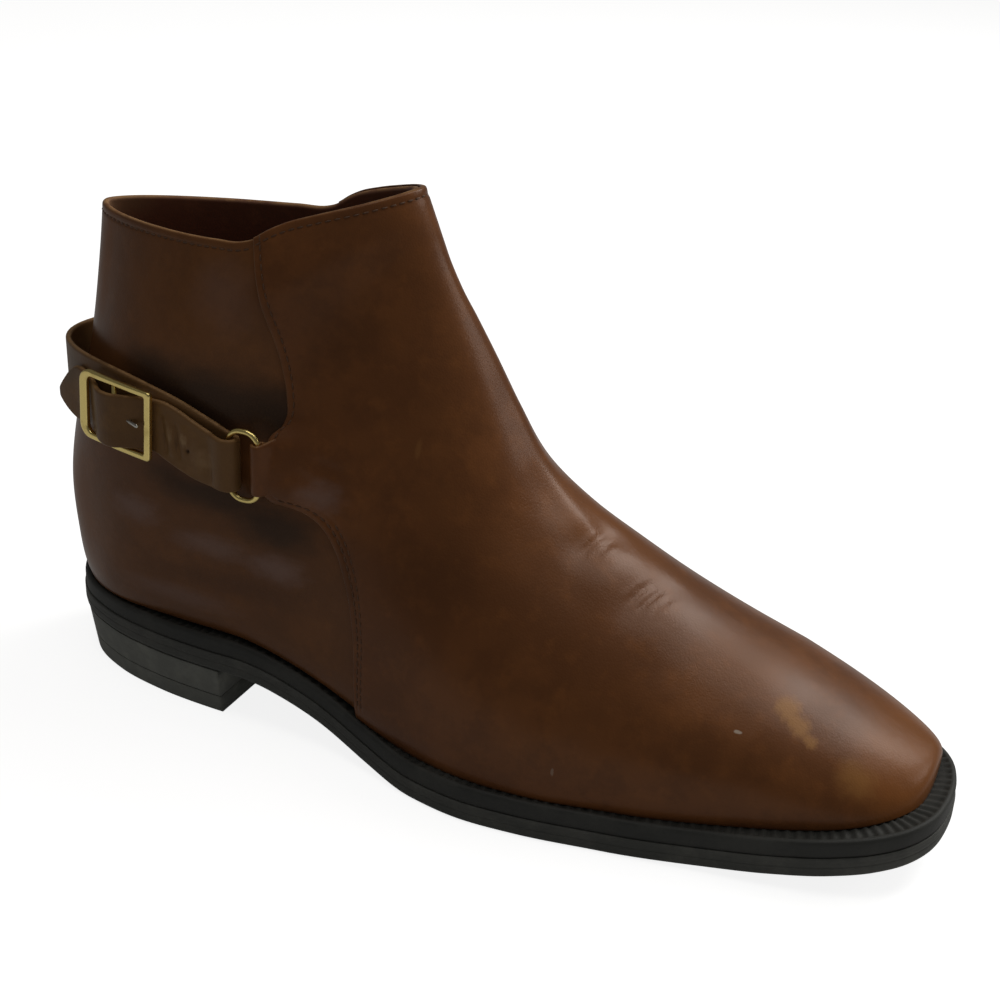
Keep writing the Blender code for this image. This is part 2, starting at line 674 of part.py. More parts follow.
def build():
    """Make every piece, colour it and centre the boot on the floor."""
    for item in list(bpy.data.objects):
        bpy.data.objects.remove(item)
    contour = heel_contour()
    ring_site = contour_frame(contour, -RING_HALF_WIDTH, RING_Z)
    site = buckle_site(contour)
    make_upper()
    make_vamp(contour, ring_site)
    make_insole()
    make_welt()
    make_outsole()
    heel_layer("heel_stack", TOP_PIECE_THICK + GAP, HEEL_SEAT - SOLE_EDGE - GAP)
    heel_layer("heel_top_piece", 0.0, TOP_PIECE_THICK)
    make_ring(ring_site)
    make_buckle(site)
    make_strap(contour, ring_site, site)
    leather = (0.10, 0.042, 0.018)
    black = (0.013, 0.013, 0.012)
    brass = (0.55, 0.40, 0.13)
    paint("upper", (0.07, 0.032, 0.016), 0.0, 0.4)
    paint("vamp", leather, 0.0, 0.38)
    paint("strap", (0.07, 0.032, 0.016), 0.0, 0.45)
    paint("insole", (0.16, 0.09, 0.05), 0.0, 0.6)
    for name in ("welt", "outsole", "heel_stack", "heel_top_piece"):
        paint(name, black, 0.0, 0.5)
    for name in ("ring", "buckle_frame"):
        paint(name, brass, 1.0, 0.25)
    paint("buckle_prong", (0.6, 0.58, 0.52), 1.0, 0.25)
    centre_on_floor()


build()
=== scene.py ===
"""Monk strap chukka boot for the right foot: leather panels, seams, sole, fittings and stage.

Lengths in the tables are millimetres from the back of the outsole, as in the part's source:
x runs to the toe, y to the inner side of the foot and z up from the floor.
"""

import math
from collections import namedtuple
from functools import lru_cache

import bmesh
import bpy
import numpy as np
from mathutils import Matrix, Vector
from mathutils.bvhtree import BVHTree


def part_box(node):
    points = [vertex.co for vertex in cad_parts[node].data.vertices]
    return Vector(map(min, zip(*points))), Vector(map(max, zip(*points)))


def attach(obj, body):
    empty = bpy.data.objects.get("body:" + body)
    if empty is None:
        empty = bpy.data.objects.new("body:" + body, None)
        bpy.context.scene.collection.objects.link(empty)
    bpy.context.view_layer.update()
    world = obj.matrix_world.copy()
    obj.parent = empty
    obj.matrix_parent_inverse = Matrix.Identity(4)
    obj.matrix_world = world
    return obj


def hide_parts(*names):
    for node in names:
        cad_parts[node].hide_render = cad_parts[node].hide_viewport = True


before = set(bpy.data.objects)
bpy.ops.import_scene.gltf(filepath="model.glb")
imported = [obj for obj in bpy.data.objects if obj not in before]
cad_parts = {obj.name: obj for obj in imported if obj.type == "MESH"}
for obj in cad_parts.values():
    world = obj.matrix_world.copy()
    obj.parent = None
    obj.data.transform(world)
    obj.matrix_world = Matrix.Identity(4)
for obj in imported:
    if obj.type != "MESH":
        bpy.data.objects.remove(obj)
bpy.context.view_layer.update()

bl_info = {
    "name": "Monk strap chukka boot",
    "version": (1, 0, 0),
    "blender": (4, 5, 0),
    "location": "View3D > Sidebar > Boot",
    "description": "Dresses the boot's frame in leather, thread, rubber and brass",
    "category": "Object",
}

MM = 0.001

# Sole
SOLE_LENGTH = 305.0
HEEL_SEAT = 29.6
SOLE_EDGE = 12.6
OUTSOLE_THICK = 6.6
TOP_PIECE_THICK = 6.2
TOE_SPRING = 11.5
SPRING_CURVE = 1.7
BREAST_X = 75.0
WAIST_START = 78.0
TREAD_START = 153.0
TREAD_END = 215.0
HEEL_SEAT_INSET = 0.6
HEEL_TAPER = 2.4
WELT_WIDTH = 16.0
GAP = 0.3
LASTING = 0.6

# Leather
WALL = 2.2
VAMP_THICK = 1.4
INSOLE_THICK = 3.0
EDGE_ROUND = 0.9
STRAP_WIDTH = 20.0
STRAP_THICK = 1.8
STRAP_SLOPE = 0.07
STRAP_END = 220.0
TAB_WIDTH = 16.6

# Ring and buckle
RING_X = 88.0
RING_Z = 93.3
RING_LIFT = 4.0
RING_WIRE = 0.9
RING_HALF_WIDTH = 5.2
RING_HALF_HEIGHT = 11.3
RING_CORNER = 4.6
BUCKLE_ALONG = 40.0
BUCKLE_Z = 101.2
BUCKLE_LIFT = 4.6
BUCKLE_HALF_LENGTH = 14.85
BUCKLE_HALF_HEIGHT = 11.6
BUCKLE_BAR = 2.0
BUCKLE_BACK_BAR = 3.2
BUCKLE_FRONT_BAR = 2.4
BUCKLE_BACK_CORNER = 4.6
BUCKLE_FRONT_CORNER = 1.3
BUCKLE_BOW = 0.5
BAR_HALF_THICK = 1.0
CENTRE_BAR = 0.8
PRONG = 0.7
PRONG_FOOT_AHEAD = 1.9
PRONG_FOOT_OVER = 0.1
PRONG_TIP_AHEAD = 11.4
PRONG_TIP_OVER = 2.1

# Sections of the foot form, from the toe back over the heel and up the shaft.
# Each lies in a plane across the foot from a low point to a point on the ridge.
Section = namedtuple(
    "Section",
    "low_x low_z top_x top_z centre_y lateral medial ridge_y wide low_round top_round",
)
FORM = [
    Section(250, 2, 250, 47.2, 3.5, 39.7, 37.2, 4.0, 0.45, 3.0, 2.15),
    Section(232, 0, 232, 54.0, 2.0, 42.5, 40.5, 4.3, 0.42, 3.0, 2.05),
    Section(212, -2, 214, 62.7, 1.0, 45.5, 42.0, 4.5, 0.38, 3.0, 1.95),
    Section(190, -3, 196, 73.0, 0.0, 48.5, 41.0, 4.5, 0.35, 3.3, 1.9),
    Section(165, 0, 180, 83.0, 0.0, 49.0, 38.0, 4.5, 0.34, 4.2, 1.85),
    Section(138, 6, 166, 95.3, 0.0, 44.5, 35.0, 4.0, 0.36, 5.0, 1.8),
    Section(108, 13, 156, 110.5, 0.0, 40.0, 34.0, 3.5, 0.38, 4.6, 1.8),
    Section(78, 16, 148.2, 124.5, 0.0, 39.0, 35.0, 3.0, 0.38, 3.7, 1.8),
    Section(48, 16, 141.5, 136.0, 0.0, 38.5, 36.0, 2.5, 0.38, 3.5, 1.8),
    Section(19, 18, 136.3, 145.0, 0.0, 38.0, 36.0, 2.0, 0.38, 3.0, 1.75),
    Section(6.3, 27, 132.4, 152.5, 0.0, 37.5, 36.0, 2.0, 0.38, 2.45, 1.75),
    Section(2.3, 42, 129.8, 158.7, 0.0, 36.5, 35.5, 2.0, 0.40, 2.4, 1.75),
    Section(0.5, 60, 127.9, 164.0, 0.0, 35.0, 34.5, 1.5, 0.44, 2.45, 1.75),
    Section(3.2, 82, 126.1, 169.0, 0.0, 33.0, 33.0, 1.0, 0.48, 2.5, 1.75),
    Section(8, 108, 124.2, 174.0, 0.0, 29.5, 29.5, 1.0, 0.50, 2.2, 1.75),
    Section(10.7, 134, 122.2, 180.0, 0.0, 25.0, 25.0, 1.0, 0.52, 1.95, 1.75),
    Section(12.6, 158, 120.0, 187.0, 0.0, 21.5, 21.5, 1.0, 0.54, 1.75, 1.75),
    Section(13.6, 180, 117.8, 196.0, 0.0, 20.0, 20.0, 1.0, 0.54, 1.7, 1.75),
]

# Columns of the sections in an array
LOW = slice(0, 2)
TOP = slice(2, 4)
LOW_X, LOW_Z, TOP_X, TOP_Z, CENTRE_Y, LATERAL, MEDIAL, RIDGE_Y, WIDE = range(9)

# Rounding of the toe, and the number of fine rows
TOE_START = 250.0
TOE_END = 297.0
NOSE_Z = 27.0
TOE_OUTER_ROUND = 3.8
TOE_INNER_ROUND = 2.8
TOE_TOP_ROUND = 4.0
TOE_TURN = (0.01, math.pi / 2 - 0.02)
BODY_ROWS = 420
TOE_ROWS = 120

# Plan of the outsole, closed, outer side first
OUTSOLE_PLAN = [
    (0.0, 0.0), (3.5, -13.0), (12.5, -24.0), (28.0, -32.5), (48.0, -37.5), (70.0, -39.5),
    (95.0, -39.3), (115.0, -40.5), (133.0, -45.0), (150.0, -50.5), (168.0, -53.8),
    (187.0, -53.0), (213.0, -48.8), (242.0, -43.8), (262.0, -40.8), (278.0, -37.2),
    (289.5, -32.5), (297.5, -26.5), (302.7, -18.5), (305.0, -8.0), (305.0, 3.5),
    (302.0, 15.0), (295.5, 25.1), (285.6, 33.4), (272.3, 39.9), (256.0, 44.8),
    (238.0, 48.0), (215.0, 50.0), (195.0, 48.5), (170.0, 43.0), (145.0, 36.5),
    (120.0, 33.0), (95.0, 33.8), (70.0, 36.5), (48.0, 36.0), (28.0, 31.5),
    (12.5, 23.5), (3.5, 13.0),
]

# Number of the last outer point; the middle of the toe lies after it
PLAN_TOE = 19

# Top edge of the upper from the back to beyond the front fold, side view
TOPLINE = [
    (-40.0, 156.5), (16.0, 156.5), (45.0, 156.8), (70.0, 157.5), (80.0, 158.2), (84.0, 159.6),
    (88.0, 162.2), (93.0, 164.8), (101.0, 167.6), (111.0, 170.6), (122.0, 174.0), (160.0, 185.0),
]

# Rear edge of the vamp from the collar down to the sole, side view
VAMP_EDGE = [
    (84.0, 158.5), (86.5, 147.0), (89.0, 139.0), (92.3, 131.0), (95.3, 122.0), (97.2, 114.0),
    (97.8, 108.5), (97.0, 105.0), (95.0, 103.0), (94.0, 99.0), (94.0, 86.0), (96.0, 82.5),
    (101.0, 81.6), (107.0, 80.4), (113.0, 77.2), (118.0, 71.3), (121.7, 63.5), (124.4, 55.0),
    (126.6, 43.0), (127.4, 28.0),
]

# Rows of the vamp's leather: where a row leaves the edge and where it meets the ridge
VampRow = namedtuple("VampRow", "edge_x edge_z ridge_x ridge_z")
VAMP_ROWS = [
    VampRow(89.0, 139.0, 130.0, 158.5), VampRow(97.8, 108.5, 140.5, 137.8),
    VampRow(94.0, 93.0, 147.5, 125.8), VampRow(107.0, 80.4, 154.0, 113.5),
    VampRow(121.7, 63.5, 163.5, 98.8), VampRow(127.4, 28.0, 180.0, 83.0),
    VampRow(165.0, 12.7, 202.0, 69.5), VampRow(215.0, 12.6, 232.0, 54.0),
    VampRow(255.0, 15.5, 262.0, 42.5), VampRow(281.0, 19.6, 290.0, 35.0),
]

# Lift of the strap off the quarter, height of its middle and share of its width,
# by length from the ring
Strap = namedtuple("Strap", "along lift height share")
STRAP_ROUTE = [
    Strap(0, 0.4, 93.3, 0.86), Strap(8, 0.4, 96.0, 0.94), Strap(20, 0.5, 100.2, 1.0),
    Strap(41, 0.5, 104.8, 1.0), Strap(58, 0.0, 105.7, 1.0), Strap(72, -0.6, 105.5, 1.0),
    Strap(88, -1.0, 104.7, 1.0), Strap(104, -0.9, 103.5, 1.0), Strap(122, -0.3, 101.5, 1.0),
    Strap(148, 0.6, 98.5, 1.0), Strap(172, 1.2, 96.0, 1.0), Strap(190, 2.0, 94.5, 1.0),
    Strap(222, 2.3, 93.0, 1.0),
]

# Route of the folded end in the buckle's own frame: back, out, height and share of the width
Fold = namedtuple("Fold", "back out height share")
STRAP_FOLD = [
    Fold(-34.0, 0.2, 93.8, 0.91), Fold(-29.0, 0.5, 95.0, 0.97), Fold(-23.0, 1.1, 97.2, 1.0),
    Fold(-18.0, 1.7, 99.0, 0.97), Fold(-13.5, 2.1, 100.0, 0.88), Fold(-9.0, 4.0, 100.2, 0.88),
    Fold(-4.0, 6.4, 100.2, 0.88), Fold(1.0, 7.3, 99.8, 0.90), Fold(5.0, 6.6, 100.1, 0.89),
    Fold(9.0, 4.2, 100.8, 0.87), Fold(13.5, 1.8, 101.8, 0.84), Fold(17.5, 0.9, 102.1, 0.92),
    Fold(20.5, 0.2, 101.8, 0.92), Fold(24.0, -0.4, 101.1, 0.76), Fold(27.5, -1.1, 100.2, 0.49),
    Fold(29.8, -1.7, 99.7, 0.28), Fold(31.2, -2.1, 99.4, 0.12),
]

# Creases pressed into the vamp by walking: face is the side they are seen from, a is y on the
# top and z on a side; a crest has a negative depth
Crease = namedtuple("Crease", "face x1 a1 x2 a2 width depth")
CREASES = [
    Crease("top", 112.0, 4.0, 172.0, 7.0, 3.4, -0.55),
    Crease("top", 148.0, 8.5, 200.0, -7.0, 4.4, -0.60),
    Crease("top", 187.0, -13.0, 190.2, 2.0, 1.0, 0.15),
    Crease("top", 190.2, -11.0, 193.2, 2.5, 1.0, 0.11),
    Crease("top", 183.0, -20.0, 194.0, 10.0, 4.5, 0.55),
    Crease("top", 203.2, -17.0, 207.6, -1.0, 1.0, 0.13),
    Crease("top", 206.8, -17.0, 211.4, 0.0, 1.0, 0.15),
    Crease("top", 210.4, -14.0, 214.4, -1.0, 1.0, 0.10),
    Crease("top", 200.0, -28.0, 214.0, 8.0, 5.0, 0.44),
    Crease("outer", 186.0, 30.0, 198.0, 62.0, 6.0, 0.20),
    Crease("outer", 205.0, 26.0, 212.0, 52.0, 5.0, 0.15),
    Crease("outer", 103.0, 93.0, 114.0, 88.5, 1.6, 0.24),
    Crease("outer", 104.0, 87.5, 116.0, 83.0, 1.6, 0.20),
    Crease("outer", 106.0, 97.0, 120.0, 94.0, 1.8, 0.18),
    Crease("outer", 118.0, 118.0, 136.0, 96.0, 9.0, 0.35),
    Crease("outer", 136.0, 92.0, 152.0, 78.0, 8.0, 0.30),
    Crease("inner", 118.0, 116.0, 138.0, 94.0, 9.0, 0.35),
    Crease("inner", 190.0, 28.0, 203.0, 60.0, 6.0, 0.22),
    Crease("inner", 206.0, 27.0, 217.0, 54.0, 5.0, 0.18),
]


def smoothstep(value):
    """Ease from 0 to 1."""
    value = np.clip(value, 0.0, 1.0)
    return value * value * (3.0 - 2.0 * value)


def round_off(share, power):
    """Rounded fall from 1 at share 0 to 0 at share 1; power 2 is a circle."""
    return (1 - share ** power) ** (1 / power)


def unit(vectors):
    """Vectors of length one."""
    return vectors / np.maximum(np.linalg.norm(vectors, axis=-1, keepdims=True), 1e-9)


def sole_bottom(x):
    """Height of the outsole's underside: heel seat, waist, tread and toe spring."""
    waist = smoothstep((TREAD_START - x) / (TREAD_START - WAIST_START))
    spring = np.maximum(0.0, (x - TREAD_END) / (SOLE_LENGTH - TREAD_END))
    return (HEEL_SEAT - SOLE_EDGE) * waist + TOE_SPRING * spring ** SPRING_CURVE


def feather(x):
    """Height of the line where the upper meets the welt."""
    return sole_bottom(x) + SOLE_EDGE


def hermite(knots, values, at):
    """Smooth curve through rows of values, read at knot positions."""
    knots = np.asarray(knots, float)
    values = np.asarray(values, float)
    at = np.atleast_1d(np.asarray(at, float))
    slopes = np.gradient(values, knots, axis=0)
    place = np.clip(np.searchsorted(knots, at) - 1, 0, len(knots) - 2)
    span = knots[place + 1] - knots[place]
    t = (at - knots[place]) / span
    if values.ndim > 1:
        span = span[:, None]
        t = t[:, None]
    ends = (1 + 2 * t) * (1 - t) ** 2 * values[place] + t * t * (3 - 2 * t) * values[place + 1]
    return ends + span * (t * (1 - t) ** 2 * slopes[place] - t * t * (1 - t) * slopes[place + 1])


def lengths(line):
    """Lengths along a line of points."""
    steps = np.linalg.norm(np.diff(line, axis=0), axis=1)
    return np.concatenate([[0.0], np.cumsum(steps)])


def smooth_line(points, step):
    """Smooth line through points, sampled about every step."""
    points = np.asarray(points, float)
    knots = lengths(points)
    return hermite(knots, points, np.linspace(0.0, knots[-1], int(knots[-1] / step) + 2))


def on_line(line, at, knots=None):
    """Points at lengths along a dense line; its knots are given where they aren't its lengths."""
    if knots is None:
        knots = lengths(line)
    return np.stack([np.interp(at, knots, line[:, k]) for k in range(line.shape[1])], axis=-1)


def nearest(line, point):
    """Length along a dense line where it passes nearest to a point."""
    gap = np.linalg.norm(line - np.asarray(point, float), axis=1)
    return lengths(line)[int(gap.argmin())]


@lru_cache
def form_rows():
    """Fine rows of the foot form, with the toe rounded off."""
    rows = np.array(FORM, float)
    knots = lengths(rows[:, LOW] + rows[:, TOP])
    first = rows[0]
    slope = (first - rows[1]) / (first[LOW_X] - rows[1][LOW_X])
    toe = []
    for share in np.cos(np.linspace(*TOE_TURN, TOE_ROWS)):
        row = first + slope * share * (TOE_END - TOE_START)
        inner = round_off(share, TOE_INNER_ROUND)
        rise = round_off(share, TOE_TOP_ROUND)
        row[LOW_Z] = NOSE_Z + (first[LOW_Z] - NOSE_Z) * rise
        row[TOP_Z] = NOSE_Z + (row[TOP_Z] - NOSE_Z) * rise
        row[WIDE:] = first[WIDE:]
        row[LATERAL] *= round_off(share, TOE_OUTER_ROUND)
        row[MEDIAL] *= inner
        row[RIDGE_Y] = row[CENTRE_Y] + (row[RIDGE_Y] - row[CENTRE_Y]) * inner
        toe.append(row)
    body = hermite(knots, rows, np.linspace(0.0, knots[-1], BODY_ROWS))
    return np.concatenate([np.array(toe), body])


# Points that are looked up at a time
CHUNK = 4000


def find_section(x, z):
    """Section values through side view points, and how far up each section they lie."""
    rows = form_rows()
    run = rows[:, TOP] - rows[:, LOW]
    span = np.linalg.norm(run, axis=1)
    found = np.empty((len(x), rows.shape[1]))
    for first in range(0, len(x), CHUNK):
        part = slice(first, first + CHUNK)
        gap = run[:, 0] * (z[part, None] - rows[:, LOW_Z]) - run[:, 1] * (x[part, None] - rows[:, LOW_X])
        gap = gap / span
        crossed = gap <= 0
        place = np.where(crossed.any(axis=1), crossed.argmax(axis=1), len(rows) - 1)
        place = np.maximum(place, 1)
        pick = np.arange(len(place))
        before = gap[pick, place - 1]
        after = gap[pick, place]
        share = np.clip(before / np.where(before == after, 1.0, before - after), 0.0, 1.0)[:, None]
        found[part] = rows[place - 1] * (1 - share) + rows[place] * share
    run = found[:, TOP] - found[:, LOW]
    reach = (x - found[:, LOW_X]) * run[:, 0] + (z - found[:, LOW_Z]) * run[:, 1]
    return found, np.clip(reach / (run ** 2).sum(axis=1), 0.0, 1.0)


def on_form(x, z, side):
    """Points of the foot form at side view places, on the outer (-1) or inner (1) side."""
    shape = np.shape(x)
    x = np.ravel(x)
    z = np.ravel(z)
    rows, rise = find_section(x, z)
    centre, lateral, medial, ridge, wide, low_round, top_round = rows[:, CENTRE_Y:].T
    low = rise < wide
    share = np.where(low, (wide - rise) / wide, (rise - wide) / (1 - wide))
    power = np.where(low, low_round, top_round)
    out = round_off(np.clip(share, 0.0, 1.0), power)
    half = medial if side > 0 else lateral
    y = centre + side * half * out + (ridge - centre) * rise ** 2
    return np.stack([x, y, z], axis=-1).reshape(*shape, 3)


def topline(x):
    """Height of the collar's edge."""
    points = np.array(TOPLINE)
    return hermite(points[:, 0], points[:, 1], x)


def lasted(x):
    """Height of the upper's lower edge, a little below the top of the welt."""
    return feather(x) - LASTING


def crossing(line, gap):
    """Point where a gap known along a line passes zero, and the number of the point after it."""
    after = int(np.argmax(gap[1:] * gap[:-1] <= 0)) + 1
    share = gap[after - 1] / (gap[after - 1] - gap[after])
    return line[after - 1] + (line[after] - line[after - 1]) * share, after


@lru_cache
def ridge_line():
    """Side view of the front fold, from the collar over the toe to the welt."""
    rows = form_rows()
    top = rows[::-1, TOP]
    start, first = crossing(top, topline(top[:, 0]) - top[:, 1])
    nose = rows[:TOE_ROWS, LOW]
    end, last = crossing(nose, lasted(nose[:, 0]) - nose[:, 1])
    return np.concatenate([[start], top[first:], nose[:last], [end]])


# The back line lies behind this x
HEEL_REGION = 60.0


@lru_cache
def back_line():
    """Side view of the back of the heel, from the collar down to the welt."""
    rows = form_rows()[TOE_ROWS:]
    low = rows[rows[:, LOW_X] < HEEL_REGION, LOW][::-1]
    start, first = crossing(low, topline(low[:, 0]) - low[:, 1])
    low = low[first:]
    end, last = crossing(low, lasted(low[:, 0]) - low[:, 1])
    return np.concatenate([[start], low[:last], [end]])


# Distance of points on the vamp's cut edge, and along the welt
EDGE_STEP = 0.4
WELT_STEP = 0.5


@lru_cache
def vamp_line():
    """Side view of the vamp's free edge, from the collar down to the welt and on to the toe."""
    edge = smooth_line(VAMP_EDGE, EDGE_STEP)
    edge = edge[edge[:, 1] > lasted(edge[:, 0])]
    tip = ridge_line()[-1]
    x = np.arange(edge[-1, 0] + WELT_STEP, tip[0], WELT_STEP)
    return np.concatenate([edge, np.stack([x, lasted(x)], axis=1), [tip]])


# Points on a side of the plan that finds the bench, and the reach of a plan point's direction
BENCH_COUNT = 200
PLAN_REACH = 0.2


@lru_cache
def bench_shift():
    """Move from the bench's frame to the packed frame."""
    outer, inner = plan_curve(0.0, BENCH_COUNT)
    plan = np.concatenate([outer, inner])
    low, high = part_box("outsole")
    return np.array([high.x / MM - plan[:, 0].max(), low.y / MM - plan[:, 1].min(), 0.0])


def plan_curve(inset, count):
    """Outsole plan moved in by inset: outer side and inner side from heel to toe."""
    spare = 3
    padded = np.array(OUTSOLE_PLAN[-spare:] + OUTSOLE_PLAN + OUTSOLE_PLAN[:spare + 1])
    steps = lengths(padded)
    start = steps[spare]
    toe = (steps[spare + PLAN_TOE] + steps[spare + PLAN_TOE + 1]) / 2
    end = steps[spare + len(OUTSOLE_PLAN)]
    sides = []
    for first in (start, end):
        at = np.linspace(first, toe, count)
        here = hermite(steps, padded, at)
        ahead = hermite(steps, padded, at + PLAN_REACH)
        run = unit(ahead - hermite(steps, padded, at - PLAN_REACH))
        sides.append(here + inset * np.stack([-run[:, 1], run[:, 0]], axis=1))
    return sides


def bench_place(x, y, z):
    """Place in the packed frame of a place on the bench."""
    return (np.array([x, y, z]) + bench_shift()) * MM


def normals_of(points):
    """Unit normals of a grid of points, pointing away from its middle."""
    down = np.gradient(points, axis=0)
    over = np.gradient(points, axis=1)
    normal = unit(np.cross(over, down))
    outward = ((points - points.mean(axis=(0, 1))) * normal).sum()
    return normal if outward > 0 else -normal


# Vertices nearer than this are one, in metres
MERGE = 1e-7


def add_sheet(work, points, flip=False):
    """Grid of quads laid through points, in the frame's metres; returns its vertices."""
    rows, columns = points.shape[:2]
    made = bmesh.ops.create_grid(work, x_segments=columns - 1, y_segments=rows - 1, size=1.0)
    verts = made["verts"]
    places = (points.reshape(-1, 3) + bench_shift()) * MM
    for vert, place in zip(verts, places.tolist()):
        vert.co = place
    if flip:
        faces = {face for vert in verts for face in vert.link_faces}
        bmesh.ops.reverse_faces(work, faces=list(faces))
    return verts


def add_tube(work, rings, closed=False):
    """Closed body along a row of rings, joined at its ends or capped."""
    rings = np.asarray(rings, float)
    rings = np.concatenate([rings, rings[:, :1]], axis=1)
    if closed:
        rings = np.concatenate([rings, rings[:1]], axis=0)
    verts = add_sheet(work, rings)
    bmesh.ops.remove_doubles(work, verts=verts, dist=MERGE)
    left = [vert for vert in verts if vert.is_valid]
    edges = {edge for vert in left for edge in vert.link_edges if edge.is_boundary}
    if edges:
        bmesh.ops.holes_fill(work, edges=list(edges), sides=0)
    faces = {face for vert in left for face in vert.link_faces}
    bmesh.ops.recalc_face_normals(work, faces=list(faces))
    return left


# Name of the values that show a leather's cut edge, and how far they reach in from it
RIM = "rim"
PANEL_RIM = 0.8
BAND_RIM = 0.7


def new_work():
    """Empty mesh to model in, with the values that the leathers read."""
    work = bmesh.new()
    work.verts.layers.float.new(RIM)
    return work


def set_rim(work, verts, distance, reach):
    """Store how near each vertex lies to the cut edge: 1 on it, falling off over the reach."""
    layer = work.verts.layers.float[RIM]
    for vert, value in zip(verts, np.exp(-np.ravel(distance) / reach).tolist()):
        vert[layer] = value


def finish_piece(work, name, nodes, materials):
    """Turn the modelled mesh into a piece of the boot."""
    mesh = bpy.data.meshes.new(name)
    for face in work.faces:
        face.smooth = True
    work.to_mesh(mesh)
    work.free()
    for material in materials:
        mesh.materials.append(material)
    piece = bpy.data.objects.new(name, mesh)
    bpy.context.collection.objects.link(piece)
    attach(piece, "root")
    if nodes:
        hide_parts(*nodes)
    return piece


# Swelling beside a fold or a crest and its place in widths, the share of a crease's length over
# which its ends fade, and the height above which creases seen from the top lie
FOLD_SWELL = 0.45
CREST_SWELL = 0.12
SWELL_AT = 1.7
CREASE_FADE = 0.35
CREASE_FLOOR = 45.0


def crease_depth(points):
    """Depth of the listed creases at points of the vamp."""
    depth = np.zeros(points.shape[:-1])
    for crease in CREASES:
        axis = 1 if crease.face == "top" else 2
        start = np.array([crease.x1, crease.a1])
        run = np.array([crease.x2, crease.a2]) - start
        span = np.linalg.norm(run)
        away = points[..., [0, axis]] - start
        along = (away @ run) / span ** 2
        across = (away[..., 0] * run[1] - away[..., 1] * run[0]) / span
        share = across / crease.width
        swell = FOLD_SWELL if crease.depth > 0 else CREST_SWELL
        trough = np.exp(-share ** 2) - swell * np.exp(-(np.abs(share) - SWELL_AT) ** 2)
        fade = smoothstep(along / CREASE_FADE) * smoothstep((1 - along) / CREASE_FADE)
        if crease.face == "outer":
            fade = fade * (points[..., 1] < 0)
        elif crease.face == "inner":
            fade = fade * (points[..., 1] > 0)
        else:
            fade = fade * (points[..., 2] > CREASE_FLOOR)
        depth += crease.depth * trough * fade
    return depth


# Rows of stitches by distance from the edge, and the width of the trough that one pulls in
STITCH_ROW = 2.7
SECOND_ROW = 4.6
TROUGH_WIDTH = 0.45


def stitch_trough(distance, row):
    """Trough that a row of stitches pulls into the leather, by distance from the edge."""
    return np.exp(-((distance - row) / TROUGH_WIDTH) ** 2)


def edge_roll(distance):
    """Share of the leather's thickness reached at a distance from its cut edge."""
    share = np.clip(1 - distance / EDGE_ROUND, 0.0, 1.0)
    return np.sqrt(1 - share ** 2)


# Grid of the vamp: columns by distance from the cut edge, rows by share of its length near the
# collar, then rows over the shaft, the flexing forefoot and the toe, whose borders are VAMP_ROWS
NEAR_CUT = [0.0, 0.06, 0.16, 0.32, 0.55, 0.9, 1.3, 1.7, 2.1, 2.5, 2.9, 3.3]
NEAR_EDGE = np.array(NEAR_CUT + [3.8, 4.4, 5.2, 6.2, 7.4])
NEAR_COLLAR = np.array([0.0, 0.0003, 0.0008, 0.0016, 0.0028, 0.0045, 0.0065, 0.0085])
COLLAR_END = 0.0105
COLLAR_BEND = 0.12
VAMP_COUNTS = (100, 120, 90)
FLEX_ROWS = (6, 8)
VAMP_HALF = 121


def vamp_side_view():
    """Side view places of one half of the vamp: rows from collar to toe, columns edge to ridge."""
    edge = vamp_line()
    ridge = ridge_line()
    at_edge = [0.0] + [nearest(edge, row[:2]) for row in VAMP_ROWS] + [lengths(edge)[-1]]
    at_ridge = [0.0] + [nearest(ridge, row[2:]) for row in VAMP_ROWS] + [lengths(ridge)[-1]]
    knots = np.array(at_edge) + np.array(at_ridge)
    knots = knots / knots[-1]
    borders = (COLLAR_END, knots[FLEX_ROWS[0]], knots[FLEX_ROWS[1]], 1.0)
    shares = [NEAR_COLLAR]
    for first, last, count in zip(borders, borders[1:], VAMP_COUNTS):
        shares.append(np.linspace(first, last, count, endpoint=last == 1.0))
    shares = np.concatenate(shares)
    start = on_line(edge, np.clip(hermite(knots, at_edge, shares), 0, at_edge[-1]))
    end = on_line(ridge, np.clip(hermite(knots, at_ridge, shares), 0, at_ridge[-1]))
    chord = np.linalg.norm(end - start, axis=1)
    near = NEAR_EDGE[None] / np.maximum(chord, 2 * NEAR_EDGE[-1])[:, None]
    turn = np.linspace(0.0, math.pi / 2, VAMP_HALF - len(NEAR_EDGE) + 1)[1:]
    far = near[:, -1:] + (1 - near[:, -1:]) * np.sin(turn)[None]
    across = np.concatenate([near, far], axis=1)
    x = start[:, :1] + (end - start)[:, :1] * across
    z = start[:, 1:] + (end - start)[:, 1:] * across
    bend = topline(x[0]) - z[0]
    fade = 1 - smoothstep(shares / COLLAR_BEND)
    return x, z + fade[:, None] * bend[None]


@lru_cache
def vamp_grid():
    """Points of the form under the vamp, outer edge over the ridge to inner edge."""
    x, z = vamp_side_view()
    outer = on_form(x, z, -1)
    inner = on_form(x, z, 1)
    middle = (outer[:, -1:] + inner[:, -1:]) / 2
    return np.concatenate([outer[:, :-1], middle, inner[:, -2::-1]], axis=1)


def run_from(points, axis, end):
    """Distance along grid lines from one border."""
    if end:
        points = np.flip(points, axis)
    steps = np.linalg.norm(np.diff(points, axis=axis), axis=-1)
    run = np.cumsum(steps, axis=axis)
    run = np.concatenate([np.zeros_like(np.take(run, [0], axis)), run], axis=axis)
    return np.flip(run, axis) if end else run


# Rise of the leather to the ring: its length and height, its half width and the fade beside it
TAB_RUN = 24.0
TAB_RISE = 4.6
TAB_HALF = 6.0
TAB_FADE = 9.0


